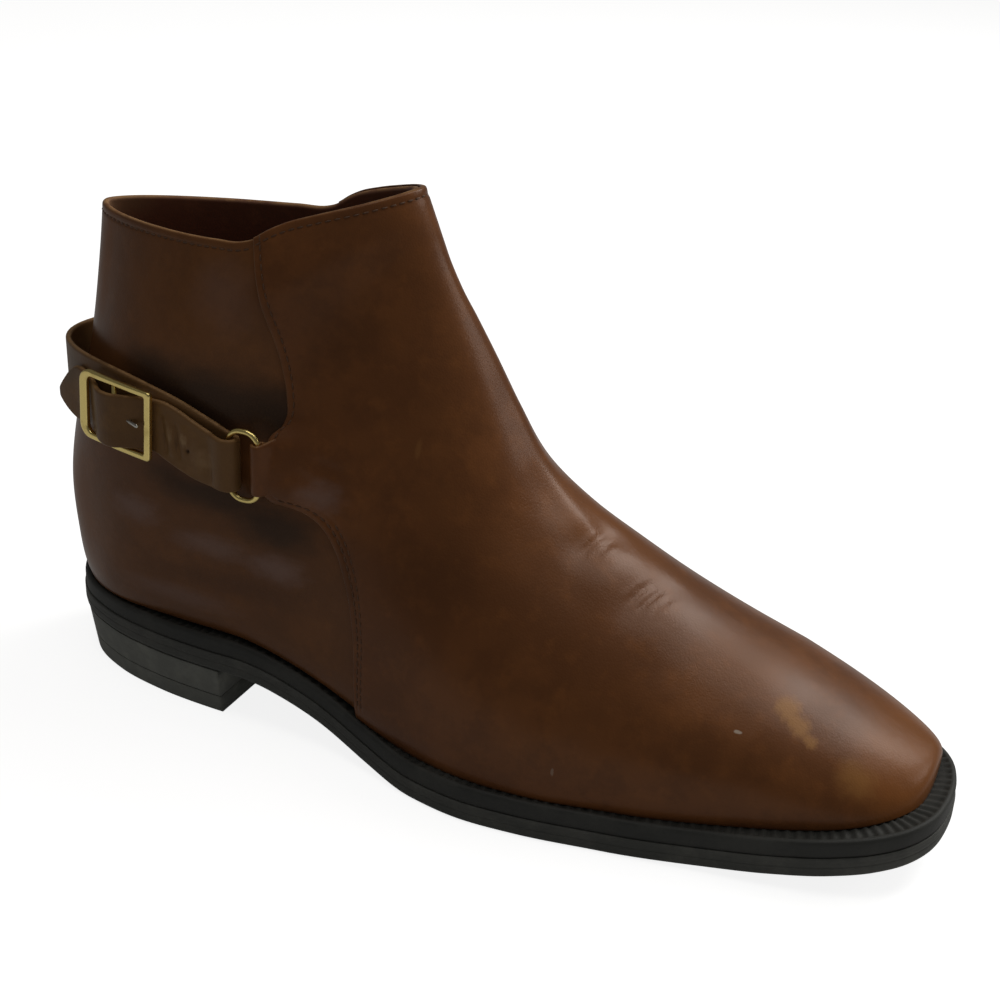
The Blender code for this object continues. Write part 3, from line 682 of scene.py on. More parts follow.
def tab_lift(points):
    """Lift of the vamp's leather where it rises to the ring."""
    ahead = (points[..., 0] - (RING_X + RING_HALF_WIDTH)) / TAB_RUN
    rise = TAB_RISE * (1 - smoothstep(ahead)) * (points[..., 1] < 0)
    off = np.abs(points[..., 2] - RING_Z) - TAB_HALF
    return rise * (1 - smoothstep(off / TAB_FADE))


# Troughs of the vamp's stitches: where they start over the welt, where the second row ends, the
# length over which they fade in, and their depth; the back of the leather takes every third point
TROUGH_START = 2.0
TROUGH_FADE = 4.0
SECOND_TOP = 84.0
SECOND_FRONT = 150.0
VAMP_TROUGH = 0.22
BACK_STEP = 3


def build_vamp(settings):
    """Front panel: one piece of leather over the instep and toe, with cut edges."""
    form = vamp_grid()
    normal = normals_of(form)
    normal[-1] = (1.0, 0.0, 0.0)
    edge = np.minimum(run_from(form, 1, False), run_from(form, 1, True))
    rim = np.minimum(edge, run_from(form, 0, False))
    lift = tab_lift(form)
    above = smoothstep((form[..., 2] - feather(form[..., 0]) - TROUGH_START) / TROUGH_FADE)
    sewn = stitch_trough(rim, STITCH_ROW) * above
    low = smoothstep((SECOND_TOP - form[..., 2]) / TROUGH_FADE) * above
    sewn += stitch_trough(edge, SECOND_ROW) * low * (form[..., 0] < SECOND_FRONT)
    height = GAP + VAMP_THICK * edge_roll(rim) + lift - crease_depth(form) - VAMP_TROUGH * sewn
    outer = form + normal * height[..., None]
    inner = (form + normal * (GAP + lift)[..., None])[::BACK_STEP, ::BACK_STEP]
    work = new_work()
    verts = add_sheet(work, outer)
    set_rim(work, verts, rim, PANEL_RIM)
    add_sheet(work, inner, flip=True)
    borders = [edge for edge in work.edges if edge.is_boundary]
    bmesh.ops.bridge_loops(work, edges=borders)
    bmesh.ops.recalc_face_normals(work, faces=work.faces)
    return finish_piece(work, "vamp_panel", ["vamp"], [vamp_leather(settings)])


# Grid of the upper: rows by distance from the collar's edge, rows in all, columns behind the
# vamp and under it, length of the rear part and its largest share of a row, and the shares of the
# height over which the rows bend to the topline and to the welt
NEAR_TOP = np.array(NEAR_CUT + [3.7, 4.2, 5.0, 6.0])
UPPER_ROWS = 116
UPPER_REAR = 106
UPPER_FRONT = 36
REAR_LENGTH = 126.0
REAR_SHARE = 0.84
TOP_BEND = 0.35
LOW_BEND = 0.55
COLLAR_TROUGH = 0.2


@lru_cache
def upper_grid():
    """Points of the form round the whole upper: rows from collar to welt, columns round the foot."""
    back = back_line()
    ridge = ridge_line()
    back_run = lengths(back)[-1]
    ridge_run = lengths(ridge)[-1]
    near = NEAR_TOP / back_run
    share = np.concatenate([near, np.linspace(near[-1], 1.0, UPPER_ROWS - len(near) + 1)[1:]])
    start = on_line(back, share * back_run)
    end = on_line(ridge, share * back_run + (ridge_run - back_run) * share ** 2)
    chord = np.linalg.norm(end - start, axis=1)
    rear = np.minimum(REAR_LENGTH, REAR_SHARE * chord) / chord
    open_turn = np.linspace(0.0, math.pi / 2, UPPER_REAR)
    shut_turn = np.linspace(0.0, math.pi / 2, UPPER_FRONT)[1:]
    across = np.concatenate([
        rear[:, None] * (1 - np.cos(open_turn)),
        rear[:, None] + (1 - rear[:, None]) * np.sin(shut_turn),
    ], axis=1)
    x = start[:, :1] + (end - start)[:, :1] * across
    z = start[:, 1:] + (end - start)[:, 1:] * across
    top_bend = topline(x[0]) - z[0]
    low_bend = lasted(x[-1]) - z[-1]
    z = z + (1 - smoothstep(share / TOP_BEND))[:, None] * top_bend
    z = z + smoothstep((share - (1 - LOW_BEND)) / LOW_BEND)[:, None] * low_bend
    outer = on_form(x, z, -1)
    inner = on_form(x, z, 1)
    for column in (0, -1):
        outer[:, column] = (outer[:, column] + inner[:, column]) / 2
        inner[:, column] = outer[:, column]
    return np.concatenate([outer[:, ::-1], inner[:, 1:]], axis=1)


def upper_normals():
    """Normals of the upper's grid, the same on both sides of its closing column."""
    normal = normals_of(upper_grid())
    normal[:, 0] = unit(normal[:, 0] + normal[:, -1])
    normal[:, -1] = normal[:, 0]
    return normal


def upper_outside():
    """Outer surface of the quarters, with its distance from the collar's edge."""
    form = upper_grid()
    rim = run_from(form, 0, False)
    height = -WALL / 2 * (1 - edge_roll(rim)) - COLLAR_TROUGH * stitch_trough(rim, STITCH_ROW)
    height[-1] = -WALL / 2
    return form + upper_normals() * height[..., None], rim


def build_upper(settings):
    """Quarters and lining: one hollow wall, open at the collar and below."""
    form = upper_grid()
    outside, rim = upper_outside()
    depth = WALL - WALL / 2 * (1 - edge_roll(rim))
    depth[-1] = WALL / 2
    inside = form - upper_normals() * depth[..., None]
    work = new_work()
    outer = add_sheet(work, outside)
    set_rim(work, outer, rim, PANEL_RIM)
    inner = add_sheet(work, inside, flip=True)
    set_rim(work, inner, rim, PANEL_RIM)
    for vert in inner:
        for face in vert.link_faces:
            face.material_index = 1
    bmesh.ops.remove_doubles(work, verts=work.verts, dist=MERGE)
    bmesh.ops.recalc_face_normals(work, faces=work.faces)
    materials = [quarter_leather(settings), lining_leather(settings)]
    return finish_piece(work, "quarters_and_lining", ["upper"], materials)


def plate_rings(lines, profile, across, height):
    """Rings across a plate from its outer side to its inner side; profile runs bottom to top."""
    sides = []
    for inset, up in profile:
        sides.append([np.column_stack([line, height(line[:, 0]) + up]) for line in lines(inset)])
    shares = np.linspace(0.0, 1.0, across + 2)[1:-1]
    ring = [side[0] for side in sides]
    for level, order in ((-1, shares), (0, shares[::-1])):
        outer, inner = sides[level]
        for share in order:
            point = outer + (inner - outer) * share
            point[:, 2] = height(point[:, 0]) + profile[level][1]
            ring.append(point)
        if level == -1:
            ring += [side[1] for side in sides[::-1]]
    return np.stack(ring, axis=1)


# Insole: stations along it and points across, its ends inside the form, its gap to the wall, and
# its side from the bottom up as inset and height
INSOLE_STATIONS = 160
INSOLE_ACROSS = 22
INSOLE_BACK = 0.02
INSOLE_FRONT = 0.1
INSOLE_GAP = 0.7
INSOLE_SIDE = [
    (0.3, 0.0), (0.0, 0.4), (0.0, INSOLE_THICK - 0.9), (0.3, INSOLE_THICK - 0.2), (1.2, INSOLE_THICK),
]


def build_insole(settings):
    """Sock lining on the insole board."""
    turn = np.linspace(0.0, math.pi, INSOLE_STATIONS)
    heel = back_line()
    top = heel[-1, 1] + INSOLE_THICK
    back = np.interp(-top, -heel[:, 1], heel[:, 0]) + INSOLE_BACK
    x = back + (TOE_END - INSOLE_FRONT - back) * (1 - np.cos(turn)) / 2
    sides = [on_form(x, feather(x) + INSOLE_THICK, side)[:, :2] for side in (-1, 1)]

    def lines(inset):
        """Both sides moved in from the form, and closed at the back and the front."""
        moved = []
        for side, line in zip((1, -1), sides):
            run = unit(np.gradient(line, axis=0))
            inward = side * np.stack([-run[:, 1], run[:, 0]], axis=1)
            moved.append(line + (WALL + INSOLE_GAP + inset) * inward)
        for end in (0, -1):
            middle = (moved[0][end] + moved[1][end]) / 2
            for line in moved:
                line[end] = middle
        return moved

    work = new_work()
    add_tube(work, plate_rings(lines, INSOLE_SIDE, INSOLE_ACROSS, feather))
    return finish_piece(work, "insole_sock", ["insole"], [sock_leather(settings)])


# Welt: its section as inset and height, the places in it that are ribbed, stations on a side of
# the foot, and stations from rib to rib
WELT_LOW = OUTSOLE_THICK + GAP
WELT_HIGH = SOLE_EDGE - GAP
WELT_SECTION = [
    (WELT_WIDTH, WELT_LOW), (0.6, WELT_LOW), (0.42, WELT_LOW + 0.25), (0.38, WELT_LOW + 1.2),
    (0.4, WELT_HIGH - 1.6), (0.6, WELT_HIGH - 0.6), (1.2, WELT_HIGH - 0.1), (1.7, WELT_HIGH),
    (2.1, WELT_HIGH), (2.4, WELT_HIGH), (4.0, WELT_HIGH), (6.5, WELT_HIGH), (9.5, WELT_HIGH),
    (10.0, WELT_HIGH), (WELT_WIDTH, WELT_HIGH),
]
WELT_RIBBED = range(9, 13)
WELT_STATIONS = 1151
RIB_STATIONS = 11

# How much paler the rubber of each piece is drawn: dust and wear, and on the outsole and heel also painted
# light that brightens their sides
WELT_WEAR = 1.0
OUTSOLE_DUST_AND_LIGHT = 2.0
HEEL_DUST_AND_LIGHT = 5.6


def build_welt(settings):
    """Welt round the foot, its top pressed into fine ribs."""
    rings = []
    for index, (inset, up) in enumerate(WELT_SECTION):
        outer, inner = plan_curve(inset, WELT_STATIONS)
        line = np.concatenate([outer, inner[-2:0:-1]])
        z = sole_bottom(line[:, 0]) + up
        if index in WELT_RIBBED:
            phase = 2 * math.pi * np.arange(len(line)) / RIB_STATIONS
            z = z - settings.rib_depth / MM * (0.5 - 0.5 * np.cos(phase))
        rings.append(np.column_stack([line, z]))
    work = new_work()
    add_tube(work, np.stack(rings, axis=1), closed=True)
    materials = [sole_rubber("Welt rubber", settings, WELT_WEAR)]
    return finish_piece(work, "welt_ribbed", ["welt"], materials)


# Outsole: its edge from the bottom up as inset and height, stations on a side, points across
OUTSOLE_SIDE = [
    (14.0, 0.0), (3.0, 0.0), (1.2, 0.05), (0.5, 0.45), (0.15, 1.1), (0.02, 1.9), (0.06, 2.1),
    (0.0, 2.3), (0.0, 3.2), (0.05, 3.4), (0.16, 3.55), (0.16, 3.75), (0.05, 3.9), (0.0, 4.1),
    (0.0, 4.9), (0.06, 5.1), (0.0, 5.3), (0.0, 6.2), (0.1, 6.45), (0.3, OUTSOLE_THICK),
    (10.0, OUTSOLE_THICK),
]
OUTSOLE_STATIONS = 420
OUTSOLE_ACROSS = 12


def outsole_lines(inset):
    """Both sides of the outsole's plan from heel to toe."""
    return plan_curve(inset, OUTSOLE_STATIONS)


def build_outsole(settings):
    """Full outsole with fine lines run round its edge."""
    work = new_work()
    add_tube(work, plate_rings(outsole_lines, OUTSOLE_SIDE, OUTSOLE_ACROSS, sole_bottom))
    materials = [sole_rubber("Outsole rubber", settings, OUTSOLE_DUST_AND_LIGHT)]
    return finish_piece(work, "outsole_edge_lined", ["outsole"], materials)


# Heel: stations on a side of the plan, those that reach past the breast and those kept, bevel of a
# layer's edges as inset and height, and the line between two lifts
HEEL_PLAN = 400
HEEL_PLAN_REAR = 120
HEEL_STATIONS = 90
HEEL_ACROSS = 16
HEEL_BEVEL = [(0.18, 0.0), (0.05, 0.05), (0.0, 0.18)]
LIFT_LINE = 0.3
LIFT_LINE_DEPTH = 0.03


def heel_lines(inset):
    """Both sides of the heel's plan from the back to the breast."""
    sides = []
    for line in plan_curve(inset, HEEL_PLAN):
        run = lengths(line)
        front = np.interp(BREAST_X, line[:HEEL_PLAN_REAR, 0], run[:HEEL_PLAN_REAR])
        sides.append(on_line(line, np.linspace(0.0, front, HEEL_STATIONS)))
    return sides


def heel_inset(height):
    """How far the heel's side lies inside the outsole's edge at a height."""
    return HEEL_SEAT_INSET + HEEL_TAPER * (1 - height / (HEEL_SEAT - SOLE_EDGE))


def heel_profile(low, high, lines):
    """Side of a heel layer from its low edge up, with faint lines between its lifts."""
    steps = [(inset, low + up) for inset, up in HEEL_BEVEL]
    for line in lines:
        steps += [(0.0, line - LIFT_LINE), (LIFT_LINE_DEPTH, line), (0.0, line + LIFT_LINE)]
    steps += [(inset, high - up) for inset, up in HEEL_BEVEL[::-1]]
    return [(heel_inset(height) + inset, height) for inset, height in steps]


def build_heel(settings):
    """Heel stack with its lift lines, and the top piece under it."""
    low = TOP_PIECE_THICK + GAP
    high = HEEL_SEAT - SOLE_EDGE - GAP
    lifts = (low + (high - low) / 3, low + (high - low) * 2 / 3)
    stack = heel_profile(low, high, lifts)
    piece = heel_profile(0.0, TOP_PIECE_THICK, ())
    made = []
    for name, node_name, profile in (
        ("heel_lifts", "heel_stack", stack), ("heel_top_lift", "heel_top_piece", piece),
    ):
        work = new_work()
        add_tube(work, plate_rings(heel_lines, profile, HEEL_ACROSS, np.zeros_like))
        materials = [sole_rubber(name.replace("_", " ").capitalize(), settings, HEEL_DUST_AND_LIGHT)]
        made.append(finish_piece(work, name, [node_name], materials))
    return made


# Contour of the heel under the strap, as seen round the upright line at CONTOUR_X, in degrees
CONTOUR_X = 55.0
CONTOUR_HEIGHTS = (83.0, 90.0, 97.0, 104.0)
CONTOUR_TURNS = (-31.0, -329.0)
CONTOUR_COUNT = 280
CONTOUR_FRONT = 60
CONTOUR_ROUNDS = 6
CONTOUR_REACH = 3.0


@lru_cache
def heel_contour():
    """Line the strap follows round the heel in plan, and lengths from the ring's rear bar."""
    work = new_work()
    add_sheet(work, upper_grid())
    tree = BVHTree.FromBMesh(work)
    work.free()
    line = []
    for turn in np.linspace(*np.radians(CONTOUR_TURNS), CONTOUR_COUNT):
        run = Vector((math.cos(turn), math.sin(turn), 0))
        reach = 0.0
        for height in CONTOUR_HEIGHTS:
            start = Vector(bench_place(CONTOUR_X, 0.0, height))
            hit = tree.ray_cast(start, run)[0]
            reach = max(reach, (hit - start).length / MM)
        line.append((CONTOUR_X + reach * run.x, reach * run.y))
    line = np.array(line)
    for _ in range(CONTOUR_ROUNDS):
        line[1:-1] = (line[:-2] + 2 * line[1:-1] + line[2:]) / 4
    run = lengths(line)
    start = np.interp(RING_HALF_WIDTH - RING_X, -line[:CONTOUR_FRONT, 0], run[:CONTOUR_FRONT])
    return line, run - start


def contour_frame(along, height):
    """Place, back, up and out on the heel contour at lengths and heights."""
    line, run = heel_contour()
    along = np.atleast_1d(along).astype(float)
    ahead = on_line(line, along + CONTOUR_REACH, run)
    back = unit(ahead - on_line(line, along - CONTOUR_REACH, run))
    flat = np.zeros(len(along))
    place = np.column_stack([on_line(line, along, run), flat + height])
    up = np.tile([0.0, 0.0, 1.0], (len(along), 1))
    return place, np.column_stack([back, flat]), up, np.column_stack([-back[:, 1], back[:, 0], flat])


def ring_site():
    """Frame of the ring: place, back, up and out."""
    return [axis[0] for axis in contour_frame(-RING_HALF_WIDTH, RING_Z)]


def buckle_site():
    """Frame of the buckle, turned with the slope of the strap."""
    place, back, up, out = [axis[0] for axis in contour_frame(BUCKLE_ALONG, BUCKLE_Z)]
    return place, unit(back + up * STRAP_SLOPE), unit(up - back * STRAP_SLOPE), out


NEAR_BAND_EDGE = np.array([0.0, 0.08, 0.22, 0.45, 0.8])


def band_columns(half_width, count):
    """Places across a leather band, closer together at its edges."""
    flat = half_width - NEAR_BAND_EDGE[-1]
    middle = np.linspace(-flat, flat, count)[1:-1]
    return np.concatenate([NEAR_BAND_EDGE - half_width, middle, half_width - NEAR_BAND_EDGE[::-1]])


def leather_band(work, middle, thick, taper):
    """Closed strip of leather about a middle surface, with rounded edges; taper is by row."""
    normal = normals_of(middle)
    edge = np.minimum(run_from(middle, 1, False), run_from(middle, 1, True))
    half = thick / 2 * edge_roll(edge) * taper[:, None]
    top = middle + normal * half[..., None]
    low = middle - normal * half[..., None]
    rings = np.concatenate([top, low[:, -2:0:-1]], axis=1)
    verts = add_sheet(work, np.concatenate([rings, rings[:, :1]], axis=1))
    rims = np.concatenate([edge, edge[:, -2:0:-1], edge[:, :1]], axis=1)
    set_rim(work, verts, rims, BAND_RIM)
    bmesh.ops.remove_doubles(work, verts=verts, dist=MERGE)
    edges = [edge for edge in work.edges if edge.is_boundary]
    if edges:
        bmesh.ops.holes_fill(work, edges=edges, sides=0)
    bmesh.ops.recalc_face_normals(work, faces=work.faces)


# Points of the strap's route round the heel, round the ring's bar and in the buckle, and the turns
# in degrees between which it goes round the bar
ROUTE_COUNT = 230
BEND_COUNT = 12
FOLD_COUNT = 60
BEND_TURNS = (-67.5, 90.0)


def strap_route():
    """Middle line of the strap, from the inner side round the heel, through the ring to its tip."""
    first = STRAP_ROUTE[0]
    rows = np.array(STRAP_ROUTE, float)
    along = np.linspace(STRAP_END, 0.0, ROUTE_COUNT)
    lift, height, share = hermite(rows[:, 0], rows[:, 1:], along).T
    place, _, _, out = contour_frame(along, height)
    route = [np.column_stack([place + out * (lift + STRAP_THICK / 2)[:, None], share])]
    place, back, up, out = ring_site()
    leg = place + back * RING_HALF_WIDTH + out * RING_LIFT
    radius = RING_LIFT - first.lift - STRAP_THICK / 2
    turn = np.radians(np.linspace(*BEND_TURNS, BEND_COUNT))[:, None]
    bend = leg + (out * np.sin(turn) - back * np.cos(turn)) * radius
    route.append(np.column_stack([bend, np.full(len(bend), first.share)]))
    place, back, up, out = [axis[0] for axis in contour_frame(BUCKLE_ALONG, 0.0)]
    fold = np.array(STRAP_FOLD, float)
    fold = hermite(fold[:, 0], fold, np.linspace(fold[0, 0], fold[-1, 0], FOLD_COUNT))
    points = place + back * fold[:, :1] + out * fold[:, 1:2] + up * fold[:, 2:3]
    route.append(np.column_stack([points, fold[:, 3]]))
    return np.concatenate(route)


# Dents and folds worn into the strap's loose end, side view; a bulge has a negative depth
StrapMark = namedtuple("StrapMark", "x1 z1 x2 z2 width depth")
STRAP_MARKS = [
    StrapMark(69.0, 94.6, 69.0, 94.6, 0.9, 0.9), StrapMark(59.5, 103.0, 61.0, 93.0, 1.3, 0.60),
    StrapMark(62.0, 103.0, 63.5, 93.0, 1.4, -0.45), StrapMark(64.2, 102.0, 66.0, 92.0, 1.1, 0.55),
    StrapMark(67.6, 101.0, 68.4, 97.5, 1.6, -0.45), StrapMark(72.5, 98.0, 73.0, 90.0, 2.6, -0.30),
    StrapMark(77.0, 98.0, 78.5, 88.0, 2.0, 0.25), StrapMark(47.0, 101.0, 47.0, 95.0, 2.6, 0.22),
]

# Strap: its loose end, its sewn end, which lifts off over SEWN_FADE, and its step up on the vamp
LOOSE_LENGTH = 72.0
SEWN_LENGTH = 20.0
SEWN_FADE = 25.0
STRAP_GAP = 0.1
VAMP_STEP_X = 90.0
VAMP_STEP_RUN = 7.0

# Ends of the strap: corner radius, least share of the width, and how they thin out
END_ROUND = 2.5
TIP_SHARE = 0.06
END_TAPER = 1.2
END_THIN = 0.05

# Grid of the strap
NEAR_SEWN_END = [0.0, 0.15, 0.4, 0.8, 1.3, 1.9]
SEWN_ROWS = 190
LOOSE_ROWS = 230
STRAP_COLUMNS = 44


def mark_depth(x, z):
    """Depth of the strap's dents at side view places."""
    depth = np.zeros(np.shape(x))
    for mark in STRAP_MARKS:
        run = np.array([mark.x2 - mark.x1, mark.z2 - mark.z1])
        along = ((x - mark.x1) * run[0] + (z - mark.z1) * run[1]) / max(run @ run, 1e-6)
        along = np.clip(along, 0.0, 1.0)
        away = np.hypot(x - mark.x1 - along * run[0], z - mark.z1 - along * run[1])
        depth += mark.depth * np.exp(-(away / mark.width) ** 2)
    return depth


@lru_cache
def strap_grid():
    """Middle surface of the strap, and the lengths of its rows from both ends."""
    route = strap_route()
    knots = lengths(route[:, :3])
    total = knots[-1]
    border = total - LOOSE_LENGTH
    at = np.concatenate([
        NEAR_SEWN_END, np.linspace(END_ROUND, border, SEWN_ROWS),
        np.linspace(border, total, LOOSE_ROWS)[1:],
    ])
    line = hermite(knots, route, at)
    columns = band_columns(STRAP_WIDTH / 2, STRAP_COLUMNS)
    corner = np.clip(1 - at / END_ROUND, 0.0, 1.0)
    cut = END_ROUND * (1 - np.sqrt(1 - corner ** 2)) / (STRAP_WIDTH / 2)
    share = np.clip(line[:, 3] - cut, TIP_SHARE, 1.0)
    middle = np.repeat(line[:, None, :3], len(columns), axis=1)
    middle[..., 2] += columns * share[:, None]
    form = on_form(middle[..., 0], middle[..., 2], 1)
    step = (GAP + VAMP_THICK) * smoothstep((form[..., 0] - VAMP_STEP_X) / VAMP_STEP_RUN)
    sewn = 1 - smoothstep((at - SEWN_LENGTH) / SEWN_FADE)
    resting = form[..., 1] + STRAP_THICK / 2 + STRAP_GAP + step
    middle[..., 1] += sewn[:, None] * (resting - middle[..., 1])
    loose = at > border
    normal = normals_of(middle[loose])
    normal = normal * -np.sign(normal[..., 1:2])
    middle[loose] -= normal * mark_depth(middle[loose][..., 0], middle[loose][..., 2])[..., None]
    return middle, at, total - at


def build_strap(settings):
    """One strap: from the inner side round the heel, through the ring and back to the buckle."""
    middle, start, tip = strap_grid()
    work = new_work()
    taper = edge_roll(np.minimum(start, tip) / END_TAPER)
    leather_band(work, middle, STRAP_THICK, np.maximum(taper, END_THIN))
    return finish_piece(work, "strap_leather_band", ["strap"], [strap_leather(settings)])


# Tab: distances ahead of the ring's bar with the rise over the vamp there, depth of its edges in
# the vamp, growth of its width for each mm ahead, and turns round the bar in degrees
TAB_RISES = ((16.0, -1.0), (13.5, -0.28), (11.0, -0.05), (8.5, 0.02), (6.0, 0.1), (3.5, 0.3))
TAB_BURIED = 0.5
TAB_SPREAD = 0.012
TAB_REACH = 0.5
TAB_TURNS = (95, -80)
TAB_TURN_COUNT = 9
TAB_END = 3.0
TAB_ROWS = 70
TAB_COLUMNS = 22


def build_tab(settings):
    """End of the vamp folded round the ring's front bar."""
    place, back, up, out = ring_site()
    reach = RING_WIRE + GAP + VAMP_THICK / 2
    columns = band_columns(TAB_WIDTH / 2, TAB_COLUMNS)
    buried = TAB_BURIED * (columns / (TAB_WIDTH / 2)) ** 2
    rows = []
    for ahead, over in TAB_RISES:
        x = np.full(len(columns), RING_X + RING_HALF_WIDTH + ahead)
        z = RING_Z + columns * (1.0 + TAB_SPREAD * ahead)
        base = on_form(x, z, -1)
        slope = unit(on_form(x + TAB_REACH, z, -1) - base)
        normal = unit(np.cross(np.gradient(base, axis=0), slope))
        normal = normal * np.sign(-normal[:, 1:2])
        height = GAP + VAMP_THICK / 2 + tab_lift(base) + over - buried
        rows.append(base + normal * height[:, None])
    bends = []
    for turn in np.radians(np.linspace(*TAB_TURNS, TAB_TURN_COUNT)):
        bends.append((RING_HALF_WIDTH - reach * math.cos(turn), RING_LIFT + reach * math.sin(turn)))
    bends.append((RING_HALF_WIDTH + TAB_END, RING_LIFT - reach))
    for ahead, rise in bends:
        rows.append(place - back * ahead + out * rise + up * columns[:, None])
    rows = np.array(rows)
    knots = lengths(rows[:, len(columns) // 2])
    shape = rows.reshape(len(rows), -1)
    middle = hermite(knots, shape, np.linspace(0.0, knots[-1], TAB_ROWS))
    work = new_work()
    leather_band(work, middle.reshape(TAB_ROWS, len(columns), 3), VAMP_THICK, np.ones(TAB_ROWS))
    return finish_piece(work, "vamp_ring_tab", [], [vamp_leather(settings)])


def rounded_path(back, front, half_height, radii, loop):
    """Closed rounded rectangle; radii from the back top corner round to the back bottom."""
    corners = [(back, 1), (-front, 1), (-front, -1), (back, -1)]
    arcs = []
    for number, ((reach, across), radius) in enumerate(zip(corners, radii)):
        centre = (reach - math.copysign(radius, reach), across * (half_height - radius))
        angle = np.radians(90 * number + np.linspace(0.0, 90.0, loop.corner + 1))
        arcs.append(centre + radius * np.column_stack([np.cos(angle), np.sin(angle)]))
    path = []
    for arc, after in zip(arcs, arcs[1:] + arcs[:1]):
        path += [arc, np.linspace(arc[-1], after[0], loop.straight + 1)[1:-1]]
    return np.concatenate(path)


def add_loop(work, outer, inner, site, lift, half_thick, loop):
    """Closed bar between two flat paths."""
    place, back, up, out = site
    middle = (outer + inner) / 2
    half = (outer - inner) / 2
    centre = place + back * middle[:, :1] + up * middle[:, 1:] + out * np.reshape(lift, (-1, 1))
    away = back * half[:, :1] + up * half[:, 1:]
    angle = 2 * math.pi * (np.arange(loop.sides) + 0.5) / loop.sides
    across = np.sign(np.cos(angle)) * np.abs(np.cos(angle)) ** (2 / loop.square)
    rise = np.sign(np.sin(angle)) * np.abs(np.sin(angle)) ** (2 / loop.square)
    rings = centre[:, None] + away[:, None] * across[None, :, None]
    rings = rings + out * (half_thick * rise)[None, :, None]
    add_tube(work, rings, closed=True)


# Sides of a round bar, and a direction that no bar has
ROD_SIDES = 18
ASKEW = (0.3, 0.2, 0.9)


def add_rod(work, start, end, radii):
    """Straight round bar; radii gives shares of its length with the radius there."""
    run = unit(end - start)
    first = unit(np.cross(run, ASKEW))
    second = np.cross(run, first)
    angle = 2 * math.pi * np.arange(ROD_SIDES) / ROD_SIDES
    rings = []
    for share, radius in radii:
        centre = start + (end - start) * share
        rings.append(centre + radius * (np.cos(angle)[:, None] * first + np.sin(angle)[:, None] * second))
    add_tube(work, rings)


# Finish of a loop: steps round a corner and along a straight, sides of its section, and the power
# of the section, where 2 is round and more is squarer
Loop = namedtuple("Loop", "corner straight sides square")
RING_LOOP = Loop(14, 12, 16, 2.0)
BUCKLE_LOOP = Loop(10, 16, 20, 3.6)
BUCKLE_INNER_CORNER = 0.6

# Shares of the prong's length with its shares of the full radius
PRONG_SHAPE = (
    (0.0, 0.3), (0.015, 0.7), (0.05, 1.0), (0.9, 1.0), (0.95, 0.92), (0.98, 0.7), (1.0, 0.3),
)


def build_ring(settings):
    """Wire ring between the vamp's tab and the strap."""
    paths = []
    for grow in (RING_WIRE, -RING_WIRE):
        wide = RING_HALF_WIDTH + grow
        corners = [RING_CORNER + grow] * 4
        paths.append(rounded_path(wide, wide, RING_HALF_HEIGHT + grow, corners, RING_LOOP))
    work = new_work()
    add_loop(work, *paths, ring_site(), RING_LIFT, RING_WIRE, RING_LOOP)
    ring_brass = worn_metal("Ring brass", settings.brass_colour, settings)
    return finish_piece(work, "strap_ring", ["ring"], [ring_brass])


def build_buckle(settings):
    """Bowed frame with its centre bar, and the prong."""
    site = buckle_site()
    place, back, up, out = site
    corners = (BUCKLE_BACK_CORNER, BUCKLE_FRONT_CORNER, BUCKLE_FRONT_CORNER, BUCKLE_BACK_CORNER)
    outer = rounded_path(
        BUCKLE_HALF_LENGTH, BUCKLE_HALF_LENGTH, BUCKLE_HALF_HEIGHT, corners, BUCKLE_LOOP,
    )
    inner = rounded_path(
        BUCKLE_HALF_LENGTH - BUCKLE_BACK_BAR, BUCKLE_HALF_LENGTH - BUCKLE_FRONT_BAR,
        BUCKLE_HALF_HEIGHT - BUCKLE_BAR,
        [max(radius - BUCKLE_BAR, BUCKLE_INNER_CORNER) for radius in corners], BUCKLE_LOOP,
    )
    middle = (outer + inner)[:, 0] / 2
    lift = BUCKLE_LIFT + BUCKLE_BOW * (1 - (middle / BUCKLE_HALF_LENGTH) ** 2)
    work = new_work()
    add_loop(work, outer, inner, site, lift, BAR_HALF_THICK, BUCKLE_LOOP)
    middle = place + out * (BUCKLE_LIFT + BUCKLE_BOW)
    reach = up * (BUCKLE_HALF_HEIGHT - BUCKLE_BAR / 2)
    add_rod(work, middle - reach, middle + reach, [(0.0, CENTRE_BAR), (1.0, CENTRE_BAR)])
    metal = worn_metal("Buckle brass", settings.brass_colour, settings)
    finish_piece(work, "buckle_bowed_frame", ["buckle_frame"], [metal])
    start = place + out * (BUCKLE_LIFT + PRONG_FOOT_OVER) - back * PRONG_FOOT_AHEAD
    end = place + out * (BUCKLE_LIFT + PRONG_TIP_OVER) - back * PRONG_TIP_AHEAD
    work = new_work()
    add_rod(work, start, end, [(along, PRONG * share) for along, share in PRONG_SHAPE])
    metal = worn_metal("Prong metal", settings.prong_colour, settings)
    finish_piece(work, "buckle_pin", ["buckle_prong"], [metal])


def line_at(points, run, distance, axis):
    """Line through a grid where the distance from a border has one value."""
    if axis == 0:
        points = np.swapaxes(points, 0, 1)
        run = run.T
    return np.array([on_line(place, distance, reach) for place, reach in zip(points, run)])


# Thread: its depth in the leather, the bounds of its rows, points left out at both ends of the
# collar's row, and the strap's sewn box
THREAD_SINK = 0.12
STRAP_THREAD_SINK = 0.1
THREAD_START = 4.0
THREAD_FRONT = 130.0
SECOND_THREAD_TOP = 80.0
SECOND_THREAD_FRONT = 132.0
TAB_FRONT = 100.0
QUARTER_FRONT = 84.0
COLLAR_SPARE = 4
SEWN_BOX = 13.0
BOX_SPARE = 4.0


